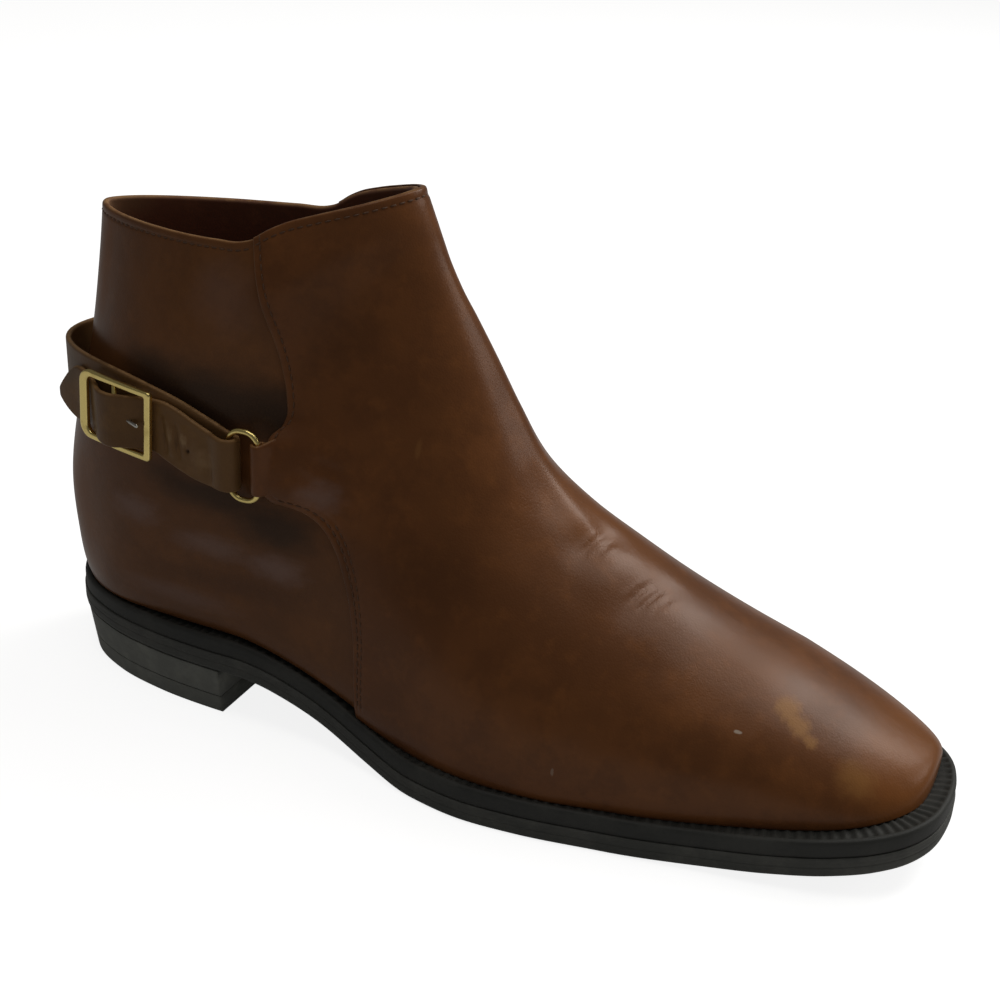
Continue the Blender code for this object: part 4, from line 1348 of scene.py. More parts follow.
def stitch_rows():
    """Lines of stitching on the vamp and the collar, each with its normals."""
    rows = []
    form = vamp_grid()
    normal = normals_of(form)
    surface = form + normal * (GAP + VAMP_THICK + tab_lift(form) - THREAD_SINK)[..., None]
    both = np.concatenate([surface, normal], axis=-1)
    for end in (False, True):
        run = run_from(form, 1, end)
        grid = both
        if end:
            run = run[:, ::-1]
            grid = both[:, ::-1]
        line = line_at(grid, run, STITCH_ROW, 1)
        x, y, z = line[:, :3].T
        tab = (np.abs(z - RING_Z) < TAB_WIDTH / 2) & (x < TAB_FRONT) & (y < 0)
        rows.append(line[(z > feather(x) + THREAD_START) & ~tab & (x < THREAD_FRONT)])
        line = line_at(grid, run, SECOND_ROW, 1)
        x, y, z = line[:, :3].T
        low = (z < SECOND_THREAD_TOP) & (x < SECOND_THREAD_FRONT)
        rows.append(line[(z > feather(x) + THREAD_START) & low])
    line = line_at(both, run_from(form, 0, False), STITCH_ROW, 0)
    rows.append(line[COLLAR_SPARE:-COLLAR_SPARE])
    outside, rim = upper_outside()
    both = np.concatenate([outside, upper_normals()], axis=-1)
    line = line_at(both, rim, STITCH_ROW, 0)
    rows.append(line[line[:, 0] < QUARTER_FRONT])
    return rows + strap_rows()


def strap_rows():
    """Box of stitches that holds the strap's inner end."""
    middle, start, _ = strap_grid()
    end = start < SEWN_BOX + BOX_SPARE
    middle = middle[end]
    start = start[end]
    normal = normals_of(middle)
    normal = normal * np.sign(normal[..., 1:2])
    surface = middle + normal * (STRAP_THICK / 2 - STRAP_THREAD_SINK)
    both = np.concatenate([surface, normal], axis=-1)
    across = run_from(middle, 1, False)
    rows = []
    for reach in (STITCH_ROW, SEWN_BOX):
        line = [on_line(column, reach, start) for column in both.swapaxes(0, 1)]
        side = np.interp(reach, start, across[:, -1])
        inside = (across[0] > STITCH_ROW) & (across[0] < side - STITCH_ROW)
        rows.append(np.array(line)[inside])
    for flip in (1, -1):
        run = run_from(middle[:, ::flip], 1, False)
        line = line_at(both[:, ::flip], run, STITCH_ROW, 1)
        rows.append(line[(start > STITCH_ROW) & (start < SEWN_BOX)])
    return rows


# Longest step inside a row of stitches, reach of a stitch's direction, and segments of a stitch
ROW_BREAK = 5.0
STITCH_REACH = 0.8
STITCH_SEGMENTS = (6, 5)


def stitch_frame(row, knots, at):
    """Place of a stitch at a length along its row, turned along the row and the surface."""
    here = on_line(row, at, knots)
    ahead = on_line(row[:, :3], at + STITCH_REACH, knots)
    run = Vector(unit(ahead - on_line(row[:, :3], at - STITCH_REACH, knots)))
    normal = Vector(unit(here[3:]))
    side = normal.cross(run).normalized()
    turn = Matrix((run, side, run.cross(side))).transposed().to_4x4()
    return Matrix.Translation(Vector(bench_place(*here[:3]))) @ turn


def build_stitching(settings):
    """Thread of the visible seams."""
    work = new_work()
    pitch = settings.pitch / MM
    size = Matrix.Diagonal((settings.length / 2, settings.radius, settings.radius, 1.0))
    around, along = STITCH_SEGMENTS
    for row in stitch_rows():
        steps = np.linalg.norm(np.diff(row[:, :3], axis=0), axis=1)
        for part in np.split(row, np.where(steps > ROW_BREAK)[0] + 1):
            knots = lengths(part[:, :3])
            for at in np.arange(pitch / 2, knots[-1], pitch):
                place = stitch_frame(part, knots, at) @ size
                bmesh.ops.create_uvsphere(
                    work, u_segments=around, v_segments=along, radius=1.0, matrix=place,
                )
    return finish_piece(work, "seam_thread", [], [seam_thread(settings)])


# Node helpers

FLOAT = "NodeSocketFloat"
COLOUR = "NodeSocketColor"
VECTOR = "NodeSocketVector"


def feed(tree, socket, value):
    """Link a socket to another, or set its value."""
    if isinstance(value, bpy.types.NodeSocket):
        tree.links.new(value, socket)
    else:
        socket.default_value = value


def node(tree, kind, inputs=None, **settings):
    """New node with its settings, its values and its links."""
    made = tree.nodes.new(kind)
    for key, value in settings.items():
        setattr(made, key, value)
    for key, value in (inputs or {}).items():
        feed(tree, made.inputs[key], value)
    return made


def mix_colours(tree, factor, first, second):
    """Mixed colour of two colours."""
    made = node(tree, "ShaderNodeMix", data_type="RGBA")
    for socket, value in (("Factor_Float", factor), ("A_Color", first), ("B_Color", second)):
        feed(tree, next(item for item in made.inputs if item.identifier == socket), value)
    return next(item for item in made.outputs if item.identifier == "Result_Color")


def maths(tree, operation, first, second=0.0, third=0.0):
    """Result of one sum on up to three values."""
    values = {0: first, 1: second, 2: third}
    return node(tree, "ShaderNodeMath", values, operation=operation).outputs[0]


def ramp(tree, value, low, high):
    """Value eased from 0 at low to 1 at high."""
    values = {"Value": value, "From Min": low, "From Max": high}
    made = node(tree, "ShaderNodeMapRange", values, interpolation_type="SMOOTHSTEP")
    return made.outputs["Result"]


def object_place(tree):
    """Place on the piece, in metres of the frame."""
    return node(tree, "ShaderNodeTexCoord").outputs["Object"]


def vector_maths(tree, operation, first, second):
    """Result of one sum on two vectors."""
    return node(tree, "ShaderNodeVectorMath", {0: first, 1: second}, operation=operation).outputs[0]


# Noise: its features in a metre, or for each feature of another scale, its detail and roughness
Noise = namedtuple("Noise", "scale detail roughness", defaults=(3.0, 0.5))


def noise_at(tree, place, noise, each=None):
    """Noise between 0 and 1 at a place, finer by its scale than each feature of another scale."""
    scale = noise.scale if each is None else maths(tree, "MULTIPLY", each, noise.scale)
    values = {"Vector": place, "Scale": scale, "Detail": noise.detail, "Roughness": noise.roughness}
    return node(tree, "ShaderNodeTexNoise", values).outputs[0]


# Relief of a bump: its strength, and its depth in metres
Relief = namedtuple("Relief", "strength depth")


def bumped(tree, relief, height, normal=None):
    """Normal of a surface with a relief on it, laid on another normal or on the bare mesh."""
    values = {"Strength": relief.strength, "Distance": relief.depth, "Height": height}
    if normal is not None:
        values["Normal"] = normal
    return node(tree, "ShaderNodeBump", values).outputs["Normal"]


def new_group(name, inputs, outputs):
    """Shader node group with named sockets, and its input and output nodes."""
    group = bpy.data.node_groups.new(name, "ShaderNodeTree")
    for label, kind, value in inputs:
        socket = group.interface.new_socket(label, in_out="INPUT", socket_type=kind)
        socket.default_value = value
    for label, kind in outputs:
        group.interface.new_socket(label, in_out="OUTPUT", socket_type=kind)
    return group, node(group, "NodeGroupInput").outputs, node(group, "NodeGroupOutput").inputs


def use_group(tree, group, inputs):
    """Place a node group in a material."""
    made = node(tree, "ShaderNodeGroup", node_tree=group)
    for key, value in inputs.items():
        feed(tree, made.inputs[key], value)
    return made.outputs


def new_material(name):
    """Empty material with its node tree and its shader."""
    material = bpy.data.materials.new(name)
    material.use_nodes = True
    tree = material.node_tree
    return material, tree, tree.nodes["Principled BSDF"]


# Effects that several materials share

BROWN = (0.1, 0.05, 0.02, 1.0)
GRAIN_SIZE = 0.0007
CLOUD_SCALE = 22.0

# Patterns of the effects
PORES = Noise(2.3, 2.0)
PORE_HEIGHT = 0.5
WAVES = Noise(0.09, 2.0)
CLOUDS = Noise(1.0)
BLOTS = Noise(3.1, 5.0, 0.62)
FLECKS = Noise(7.0, 4.0, 0.6)
EDGE_GAPS = Noise(220.0)
FRAY = Noise(2.4, 5.0)
WRINKLE_LINES = Noise(1.0, 3.0, 0.55)
DUST_FILM = Noise(60.0, 6.0, 0.65)
FINE_PITS = Noise(900.0)

# Values of the patterns at which an effect starts and is full
CLOUD_RANGE = (0.64, 0.34)
BLOT_RANGE = (0.57, 0.36)
FLECK_RANGE = (0.48, 0.78)
EDGE_GAP_RANGE = (0.25, 0.6)
EDGE_RANGE = (0.35, 0.95)
WRINKLE_RANGE = (0.045, 0.0)
DUST_RANGE = (0.42, 0.72)


@lru_cache
def grain_group():
    """Fine cells and pores of the leather's grain, and its uneven lie."""
    inputs = [("Size", FLOAT, GRAIN_SIZE)]
    outputs = [("Height", FLOAT), ("Waves", FLOAT)]
    group, given, out = new_group("Leather grain", inputs, outputs)
    place = object_place(group)
    scale = maths(group, "DIVIDE", 1.0, given["Size"])
    cells = node(group, "ShaderNodeTexVoronoi", {"Vector": place, "Scale": scale})
    pores = noise_at(group, place, PORES, scale)
    height = maths(group, "MULTIPLY_ADD", pores, PORE_HEIGHT, cells.outputs["Distance"])
    feed(group, out["Height"], height)
    feed(group, out["Waves"], noise_at(group, place, WAVES, scale))
    return group


@lru_cache
def dye_group():
    """Uneven dye of calf leather: broad clouds, dark blots and small warm flecks."""
    inputs = [
        ("Base", COLOUR, BROWN), ("Dark", COLOUR, BROWN), ("Warm", COLOUR, BROWN),
        ("Scale", FLOAT, CLOUD_SCALE), ("Blots", FLOAT, 0.0), ("Flecks", FLOAT, 0.25),
    ]
    outputs = [("Color", COLOUR), ("Clouds", FLOAT)]
    group, given, out = new_group("Dye clouds", inputs, outputs)
    place = object_place(group)
    clouds = noise_at(group, place, CLOUDS, given["Scale"])
    blot = ramp(group, noise_at(group, place, BLOTS, given["Scale"]), *BLOT_RANGE)
    fleck = ramp(group, noise_at(group, place, FLECKS, given["Scale"]), *FLECK_RANGE)
    colour = mix_colours(group, ramp(group, clouds, *CLOUD_RANGE), given["Base"], given["Dark"])
    dark = maths(group, "MULTIPLY", blot, given["Blots"])
    colour = mix_colours(group, dark, colour, given["Dark"])
    warm = maths(group, "MULTIPLY", fleck, given["Flecks"])
    feed(group, out["Color"], mix_colours(group, warm, colour, given["Warm"]))
    feed(group, out["Clouds"], clouds)
    return group


@lru_cache
def edge_group():
    """Paler cut edge of the leather, read from the piece's rim values."""
    inputs = [("Color", COLOUR, BROWN), ("Edge", COLOUR, BROWN), ("Amount", FLOAT, 0.7)]
    group, given, out = new_group("Cut edge", inputs, [("Color", COLOUR)])
    rim = node(group, "ShaderNodeAttribute", attribute_name=RIM).outputs["Fac"]
    broken = ramp(group, noise_at(group, object_place(group), EDGE_GAPS), *EDGE_GAP_RANGE)
    worn = maths(group, "MULTIPLY", ramp(group, rim, *EDGE_RANGE), broken)
    worn = maths(group, "MULTIPLY", worn, given["Amount"])
    feed(group, out["Color"], mix_colours(group, worn, given["Color"], given["Edge"]))
    return group


@lru_cache
def patch_group():
    """Soft or frayed patch about a place, as a mask."""
    inputs = [
        ("Centre", VECTOR, (0.0, 0.0, 0.0)), ("Size", VECTOR, (0.01, 0.01, 0.01)),
        ("Fray", FLOAT, 0.3), ("Soft", FLOAT, 0.7),
    ]
    group, given, out = new_group("Patch", inputs, [("Mask", FLOAT)])
    away = vector_maths(group, "SUBTRACT", object_place(group), given["Centre"])
    away = vector_maths(group, "DIVIDE", away, given["Size"])
    reach = node(group, "ShaderNodeVectorMath", {0: away}, operation="LENGTH")
    noise = maths(group, "SUBTRACT", noise_at(group, away, FRAY), 0.5)
    reach = maths(group, "MULTIPLY_ADD", noise, given["Fray"], reach.outputs["Value"])
    inner = maths(group, "SUBTRACT", 1.0, given["Soft"])
    feed(group, out["Mask"], ramp(group, reach, 1.0, inner))
    return group


@lru_cache
def wrinkle_group():
    """Fine pressed lines of worn leather, drawn out along the longer axis of the stretch."""
    inputs = [("Scale", FLOAT, 300.0), ("Stretch", VECTOR, (1.0, 0.35, 1.0))]
    group, given, out = new_group("Fine wrinkles", inputs, [("Lines", FLOAT)])
    place = vector_maths(group, "MULTIPLY", object_place(group), given["Stretch"])
    noise = maths(group, "SUBTRACT", noise_at(group, place, WRINKLE_LINES, given["Scale"]), 0.5)
    feed(group, out["Lines"], ramp(group, maths(group, "ABSOLUTE", noise), *WRINKLE_RANGE))
    return group


@lru_cache
def dust_group():
    """Grey dust and scuffs on black rubber."""
    inputs = [("Rubber", COLOUR, BROWN), ("Dust", COLOUR, BROWN), ("Amount", FLOAT, 0.6)]
    outputs = [("Color", COLOUR), ("Cover", FLOAT), ("Height", FLOAT)]
    group, given, out = new_group("Dust", inputs, outputs)
    place = object_place(group)
    film = ramp(group, noise_at(group, place, DUST_FILM), *DUST_RANGE)
    cover = maths(group, "MULTIPLY", film, given["Amount"])
    feed(group, out["Color"], mix_colours(group, cover, given["Rubber"], given["Dust"]))
    feed(group, out["Cover"], cover)
    feed(group, out["Height"], noise_at(group, place, FINE_PITS))
    return group


# Leathers

# Patches on the leather: middle and half sizes, fray and softness of the border, strength,
# colour, and what the patch adds to the roughness
Patch = namedtuple("Patch", "x y z wide deep high fray soft strength colour rough")
TAN = (0.40, 0.19, 0.055, 1.0)
DARK = (0.085, 0.032, 0.012, 1.0)
ORANGE = (0.30, 0.105, 0.022, 1.0)
PALE = (0.55, 0.45, 0.36, 1.0)
# Painted shade: darkening painted where the strap shades the quarter and in the strap's dents
PAINTED_SHADE = (0.045, 0.026, 0.016, 1.0)
# Painted sheen: reflection and highlight painted into the leather's colour
PAINTED_SHEEN = (0.26, 0.158, 0.128, 1.0)
OLIVE = (0.42, 0.265, 0.135, 1.0)
ASH = (0.20, 0.155, 0.115, 1.0)
RUBBED = (0.27, 0.16, 0.085, 1.0)
VAMP_PATCHES = [
    Patch(290.0, 2.0, 30.0, 22.0, 60.0, 26.0, 0.5, 0.9, 0.55, ORANGE, 0.0),
    Patch(195.0, 6.0, 78.0, 60.0, 22.0, 30.0, 0.4, 0.9, 0.35, ORANGE, 0.0),
    Patch(256.0, -15.5, 44.2, 5.4, 6.4, 6.4, 0.8, 0.75, 0.8, TAN, 0.10),
    Patch(260.5, -18.6, 41.4, 4.8, 5.2, 5.2, 0.8, 0.75, 0.8, TAN, 0.10),
    Patch(264.6, -21.0, 38.8, 3.0, 3.0, 3.6, 1.0, 0.7, 0.70, TAN, 0.10),
    Patch(238.0, -8.0, 52.0, 24.0, 22.0, 14.0, 0.5, 0.9, 0.20, ORANGE, 0.13),
    Patch(267.0, -9.0, 41.0, 11.0, 13.0, 10.0, 0.4, 0.95, 0.15, DARK, 0.06),
    Patch(112.0, -30.0, 136.0, 24.0, 22.0, 34.0, 0.5, 0.9, 0.38, DARK, 0.0),
    Patch(279.0, -22.0, 31.0, 9.0, 9.0, 8.0, 0.8, 0.9, 0.45, TAN, 0.0),
    Patch(245.3, -29.4, 40.9, 1.7, 0.8, 0.6, 0.8, 0.5, 0.85, PALE, 0.2),
    Patch(196.9, -49.0, 23.5, 0.6, 2.0, 1.6, 0.8, 0.5, 0.35, PALE, 0.2),
    Patch(122.0, -34.0, 62.0, 10.0, 16.0, 24.0, 0.5, 0.9, 0.60, DARK, 0.0),
    Patch(150.0, -36.0, 70.0, 26.0, 20.0, 20.0, 0.6, 0.9, 0.35, DARK, 0.0),
    Patch(139.0, -24.0, 104.0, 1.2, 6.0, 4.0, 0.7, 0.7, 0.22, TAN, 0.1),
    # Painted highlight on the vamp beside the ring's tab
    Patch(112.0, -36.0, 87.0, 11.0, 12.0, 7.0, 0.7, 0.9, 0.60, PAINTED_SHEEN, 0.0),
]
# On the quarter the shade colour is painted shadow above and under the strap
QUARTER_PATCHES = [
    Patch(72.0, -32.0, 109.0, 44.0, 14.0, 16.0, 0.5, 0.8, 0.92, PAINTED_SHADE, 0.15),
    Patch(52.0, -32.0, 116.0, 17.0, 14.0, 9.0, 0.5, 0.9, 0.75, PAINTED_SHADE, 0.15),
    Patch(57.0, -37.0, 83.0, 13.0, 14.0, 7.0, 0.5, 0.9, 0.65, PAINTED_SHADE, 0.15),
    Patch(96.0, -32.0, 108.0, 16.0, 14.0, 12.0, 0.5, 0.8, 0.85, PAINTED_SHADE, 0.15),
    Patch(76.0, -37.0, 79.0, 30.0, 14.0, 8.0, 0.5, 0.8, 0.85, PAINTED_SHADE, 0.15),
    Patch(98.0, -37.0, 73.0, 22.0, 14.0, 10.0, 0.5, 0.8, 0.85, PAINTED_SHADE, 0.15),
    # Painted reflections of the floor on the quarter's lower part and over the welt, and a painted sheen
    # near the collar
    Patch(76.0, -30.0, 142.0, 16.0, 14.0, 16.0, 0.5, 0.9, 0.30, PAINTED_SHEEN, 0.0),
    Patch(45.0, -37.0, 68.0, 14.0, 12.0, 7.0, 0.6, 0.9, 0.70, PAINTED_SHEEN, 0.0),
    Patch(74.0, -38.0, 62.0, 20.0, 12.0, 6.0, 0.6, 0.9, 0.65, PAINTED_SHEEN, 0.0),
    Patch(98.0, -38.0, 60.0, 15.0, 14.0, 7.0, 0.6, 0.9, 0.75, PAINTED_SHEEN, 0.0),
    Patch(80.0, -38.0, 50.0, 44.0, 14.0, 6.0, 0.5, 0.9, 0.45, DARK, 0.0),
    Patch(60.0, -37.5, 41.0, 32.0, 12.0, 5.5, 0.5, 0.9, 0.45, PAINTED_SHEEN, 0.0),
    Patch(18.0, -26.0, 60.0, 15.0, 22.0, 28.0, 0.5, 0.9, 0.40, ORANGE, 0.18),
    Patch(21.0, -15.0, 144.0, 10.0, 14.0, 38.0, 0.5, 0.9, 0.35, ORANGE, 0.18),
]
# On the strap the shade colour is painted shade in its dents, one of them drawn as a hole near the loose
# end
STRAP_PATCHES = [
    Patch(68.9, -44.0, 94.5, 1.2, 6.0, 1.1, 0.4, 0.5, 0.90, PAINTED_SHADE, 0.1),
    Patch(67.6, -44.0, 98.0, 2.2, 6.0, 3.2, 1.0, 0.7, 0.80, OLIVE, 0.1),
    Patch(62.5, -44.0, 98.5, 1.5, 6.0, 4.5, 1.0, 0.7, 0.60, OLIVE, 0.1),
    Patch(75.0, -44.0, 93.0, 6.0, 6.0, 5.5, 1.0, 0.9, 0.50, OLIVE, 0.05),
    Patch(64.8, -44.0, 97.0, 1.0, 6.0, 5.5, 1.0, 0.8, 0.50, PAINTED_SHADE, 0.05),
    Patch(60.2, -44.0, 98.0, 1.0, 6.0, 6.0, 1.0, 0.8, 0.45, PAINTED_SHADE, 0.05),
    Patch(26.0, -36.0, 103.0, 9.0, 10.0, 7.0, 0.9, 0.8, 0.30, OLIVE, 0.05),
    Patch(16.0, -30.0, 110.0, 14.0, 14.0, 9.0, 0.9, 0.9, 0.55, ASH, 0.05),
]
LINING_PATCHES = [
    Patch(16.0, 2.0, 156.0, 14.0, 16.0, 12.0, 0.7, 0.7, 0.6, RUBBED, 0.05),
]

# Places of fine wrinkles: middle, half sizes and strength
Wrinkle = namedtuple("Wrinkle", "x y z wide deep high strength")
VAMP_WRINKLES = [
    Wrinkle(190.0, -5.0, 76.0, 7.0, 10.0, 10.0, 0.5), Wrinkle(208.5, -8.0, 66.0, 8.0, 11.0, 10.0, 0.5),
    Wrinkle(112.0, -36.0, 88.0, 12.0, 12.0, 10.0, 0.6), Wrinkle(232.0, -22.0, 50.0, 16.0, 20.0, 12.0, 0.2),
    Wrinkle(168.0, -14.0, 88.0, 14.0, 20.0, 14.0, 0.2),
]
STRAP_WRINKLES = [Wrinkle(45.0, 0.0, 98.0, 90.0, 90.0, 30.0, 0.4)]
ACROSS_FOOT = (1.0, 0.35, 1.0)
UP_STRAP = (1.0, 1.0, 0.3)


def patch_mask(tree, spot, fray, soft):
    """Mask of a patch about a spot."""
    size = np.array([spot.wide, spot.deep, spot.high]) * MM
    values = {"Centre": bench_place(spot.x, spot.y, spot.z), "Size": size, "Fray": fray, "Soft": soft}
    return use_group(tree, patch_group(), values)["Mask"]


def shade_of(colour, red, green, blue):
    """Colour with its parts multiplied."""
    return (colour[0] * red, colour[1] * green, colour[2] * blue, 1.0)


# Parts of a dye's colour in its dark clouds and warm flecks, what the clouds add to the roughness,
# border of a wrinkled place, and the polish
DARK_DYE = (0.72, 0.72, 0.78)
WARM_DYE = (1.35, 1.35, 1.2)
CLOUD_ROUGH = 0.08
WRINKLE_FRAY = 0.4
WRINKLE_SOFT = 0.9
COAT_ROUGH = 0.17
LEATHER_GLOSS = 0.32
SHEEN = (1.0, 0.72, 0.58, 1.0)
LEATHER_WAVES = Relief(0.35, 0.0003)
LEATHER_GRAIN = Relief(0.09, 0.0003)
LEATHER_WRINKLES = Relief(0.22, 0.0004)
Finish = namedtuple(
    "Finish", "rough coat edge_amount flecks blots patches wrinkles stretch",
    defaults=(0.0, (), (), ACROSS_FOOT),
)


def leather(name, colour, settings, finish):
    """Dyed and polished leather with its wear, and the painted shade and painted sheen of its patches."""
    made = bpy.data.materials.get(name)
    if made:
        return made
    material, tree, shader = new_material(name)
    dye = use_group(tree, dye_group(), {
        "Base": (*colour, 1.0), "Dark": shade_of(colour, *DARK_DYE),
        "Warm": shade_of(colour, *WARM_DYE), "Blots": finish.blots, "Flecks": finish.flecks,
    })
    dye_wear_and_painted_light = dye["Color"]
    rough = maths(tree, "MULTIPLY_ADD", dye["Clouds"], CLOUD_ROUGH, finish.rough - CLOUD_ROUGH / 2)
    # Patches add stains and scuffs, and also painted shade and painted sheen, to the dyed colour
    for patch in finish.patches:
        mask = patch_mask(tree, patch, patch.fray, patch.soft)
        dye_wear_and_painted_light = mix_colours(tree, maths(tree, "MULTIPLY", mask, patch.strength), dye_wear_and_painted_light, patch.colour)
        if patch.rough:
            rough = maths(tree, "MULTIPLY_ADD", mask, patch.rough, rough)
    edge = {"Color": dye_wear_and_painted_light, "Edge": (*settings.edge_colour, 1.0), "Amount": finish.edge_amount}
    feed(tree, shader.inputs["Base Color"], use_group(tree, edge_group(), edge)["Color"])
    feed(tree, shader.inputs["Roughness"], rough)
    grain = use_group(tree, grain_group(), {"Size": settings.grain})
    normal = bumped(tree, LEATHER_WAVES, grain["Waves"])
    normal = bumped(tree, LEATHER_GRAIN, grain["Height"], normal)
    if finish.wrinkles:
        lines = use_group(tree, wrinkle_group(), {"Stretch": finish.stretch})["Lines"]
        worn = 0.0
        for spot in finish.wrinkles:
            mask = patch_mask(tree, spot, WRINKLE_FRAY, WRINKLE_SOFT)
            worn = maths(tree, "MULTIPLY_ADD", mask, spot.strength, worn)
        height = maths(tree, "MULTIPLY", maths(tree, "MULTIPLY", lines, worn), -1.0)
        normal = bumped(tree, LEATHER_WRINKLES, height, normal)
    feed(tree, shader.inputs["Normal"], normal)
    shader.inputs["Coat Weight"].default_value = finish.coat
    shader.inputs["Coat Roughness"].default_value = COAT_ROUGH
    shader.inputs["Specular IOR Level"].default_value = LEATHER_GLOSS
    shader.inputs["Specular Tint"].default_value = SHEEN
    return material


def vamp_leather(settings):
    """Cognac calf of the vamp."""
    finish = Finish(
        rough=settings.roughness, coat=settings.coat, edge_amount=0.5, flecks=0.4, blots=0.75,
        patches=VAMP_PATCHES, wrinkles=VAMP_WRINKLES,
    )
    return leather("Vamp calf", settings.vamp_colour, settings, finish)


def quarter_leather(settings):
    """Darker calf of the quarters."""
    finish = Finish(
        rough=settings.roughness, coat=settings.coat, edge_amount=0.7, flecks=0.3, blots=0.6,
        patches=QUARTER_PATCHES,
    )
    return leather("Quarter calf", settings.quarter_colour, settings, finish)


def lining_leather(settings):
    """Lining inside the shaft, paler where the heel rubs it."""
    finish = Finish(rough=0.60, coat=0.0, edge_amount=0.7, flecks=0.4, patches=LINING_PATCHES)
    return leather("Lining leather", settings.lining_colour, settings, finish)


def sock_leather(settings):
    """Sock lining of the insole."""
    finish = Finish(rough=0.60, coat=0.0, edge_amount=0.2, flecks=0.4)
    return leather("Sock leather", settings.sock_colour, settings, finish)


def strap_leather(settings):
    """Strap leather, dry and more worn than the rest."""
    finish = Finish(
        rough=0.48, coat=0.03, edge_amount=0.6, flecks=0.4,
        patches=STRAP_PATCHES, wrinkles=STRAP_WRINKLES, stretch=UP_STRAP,
    )
    return leather("Strap leather", settings.strap_colour, settings, finish)


# Thread: its twist, the shade between its strands, and its roughness
THREAD_TWIST = Noise(1500.0, 2.0)
THREAD_SHADE = 0.6
THREAD_ROUGH = 0.6


def seam_thread(settings):
    """Waxed thread of the seams."""
    material, tree, shader = new_material("Seam thread")
    twist = noise_at(tree, object_place(tree), THREAD_TWIST)
    dark = shade_of(settings.thread_colour, *(THREAD_SHADE,) * 3)
    colour = mix_colours(tree, twist, dark, (*settings.thread_colour, 1.0))
    feed(tree, shader.inputs["Base Color"], colour)
    shader.inputs["Roughness"].default_value = THREAD_ROUGH
    return material


# Rubber and metal

DUST_ROUGH = 0.2
RUBBER_RELIEF = Relief(0.25, 0.0003)
RUBBER_GLOSS = 0.35
TARNISH = Noise(180.0, 4.0, 0.55)
TARNISH_RANGE = (0.50, 0.80)
TARNISH_SHADE = (0.72, 0.68, 0.60)
TARNISH_ROUGH = 0.15
METAL_RELIEF = Relief(0.12, 0.0002)


def sole_rubber(name, settings, wear):
    """Black rubber, dusty and dull from wear, and paler by a factor that is partly painted light."""
    material, tree, shader = new_material(name)
    # The wear factor pales rubber and dust alike; on the outsole and heel it is partly painted light
    dust = use_group(tree, dust_group(), {
        "Rubber": shade_of(settings.rubber_colour, wear, wear, wear),
        "Dust": shade_of(settings.dust_colour, wear, wear, wear),
    })
    feed(tree, shader.inputs["Base Color"], dust["Color"])
    rough = maths(tree, "MULTIPLY_ADD", dust["Cover"], DUST_ROUGH, settings.roughness)
    feed(tree, shader.inputs["Roughness"], rough)
    feed(tree, shader.inputs["Normal"], bumped(tree, RUBBER_RELIEF, dust["Height"]))
    shader.inputs["Specular IOR Level"].default_value = RUBBER_GLOSS
    return material


def worn_metal(name, colour, settings):
    """Metal with brushed tarnish."""
    material, tree, shader = new_material(name)
    place = object_place(tree)
    tarnish = ramp(tree, noise_at(tree, place, TARNISH), *TARNISH_RANGE)
    dull = mix_colours(tree, tarnish, (*colour, 1.0), shade_of(colour, *TARNISH_SHADE))
    feed(tree, shader.inputs["Base Color"], dull)
    rough = maths(tree, "MULTIPLY_ADD", tarnish, TARNISH_ROUGH, settings.roughness)
    feed(tree, shader.inputs["Roughness"], rough)
    normal = bumped(tree, METAL_RELIEF, noise_at(tree, place, FINE_PITS))
    feed(tree, shader.inputs["Normal"], normal)
    shader.inputs["Metallic"].default_value = 1.0
    return material


# Stage

# Camera: point that it looks at, focal length and picture in pixels, sensor in mm, near limit in
# metres
CAMERA_TARGET = (155.645, 0.0, 81.34)
CAMERA_FOCAL_PX = 1544.1
FRAME_PX = 1000
SENSOR = 36.0
CLIP_START = 0.01

# Soft lights: place, width and height of the lamp in metres, power in watts
Lamp = namedtuple("Lamp", "name x y z wide high power")
LAMPS = [
    Lamp("Window", 0.708, 1.091, 1.171, 0.68, 0.58, 7.0),
    Lamp("Sky", 0.513, 0.611, 1.50, 1.10, 0.70, 4.5),
    Lamp("Low window", 1.24, 0.80, 0.70, 0.55, 0.40, 2.0),
    Lamp("Overhead", 0.0, -0.2, 1.7, 1.0, 0.7, 3.4),
]
LAMP_COLOUR = (1.0, 0.98, 0.95)
LAMP_AIM = Vector((0.0, 0.0, 0.05))
FLOOR_HALF = 8.0


def build_camera(settings):
    """Camera at the photograph's angle to the boot."""
    turn, lift, roll = settings.azimuth, settings.elevation, settings.roll
    flat = math.cos(lift)
    back = Vector((math.sin(turn) * flat, -math.cos(turn) * flat, math.sin(lift)))
    right = Vector((math.cos(turn), math.sin(turn), 0.0))
    up = back.cross(right)
    level = right * math.cos(roll) + up * math.sin(roll)
    upright = up * math.cos(roll) - right * math.sin(roll)
    data = bpy.data.cameras.new("Camera")
    data.sensor_width = SENSOR
    data.lens = CAMERA_FOCAL_PX / FRAME_PX * SENSOR
    data.clip_start = CLIP_START
    camera = bpy.data.objects.new("Camera", data)
    bpy.context.collection.objects.link(camera)
    matrix = Matrix((level, upright, back)).transposed().to_4x4()
    matrix.translation = Vector(bench_place(*CAMERA_TARGET)) + back * settings.distance
    camera.matrix_world = matrix
    bpy.context.scene.camera = camera


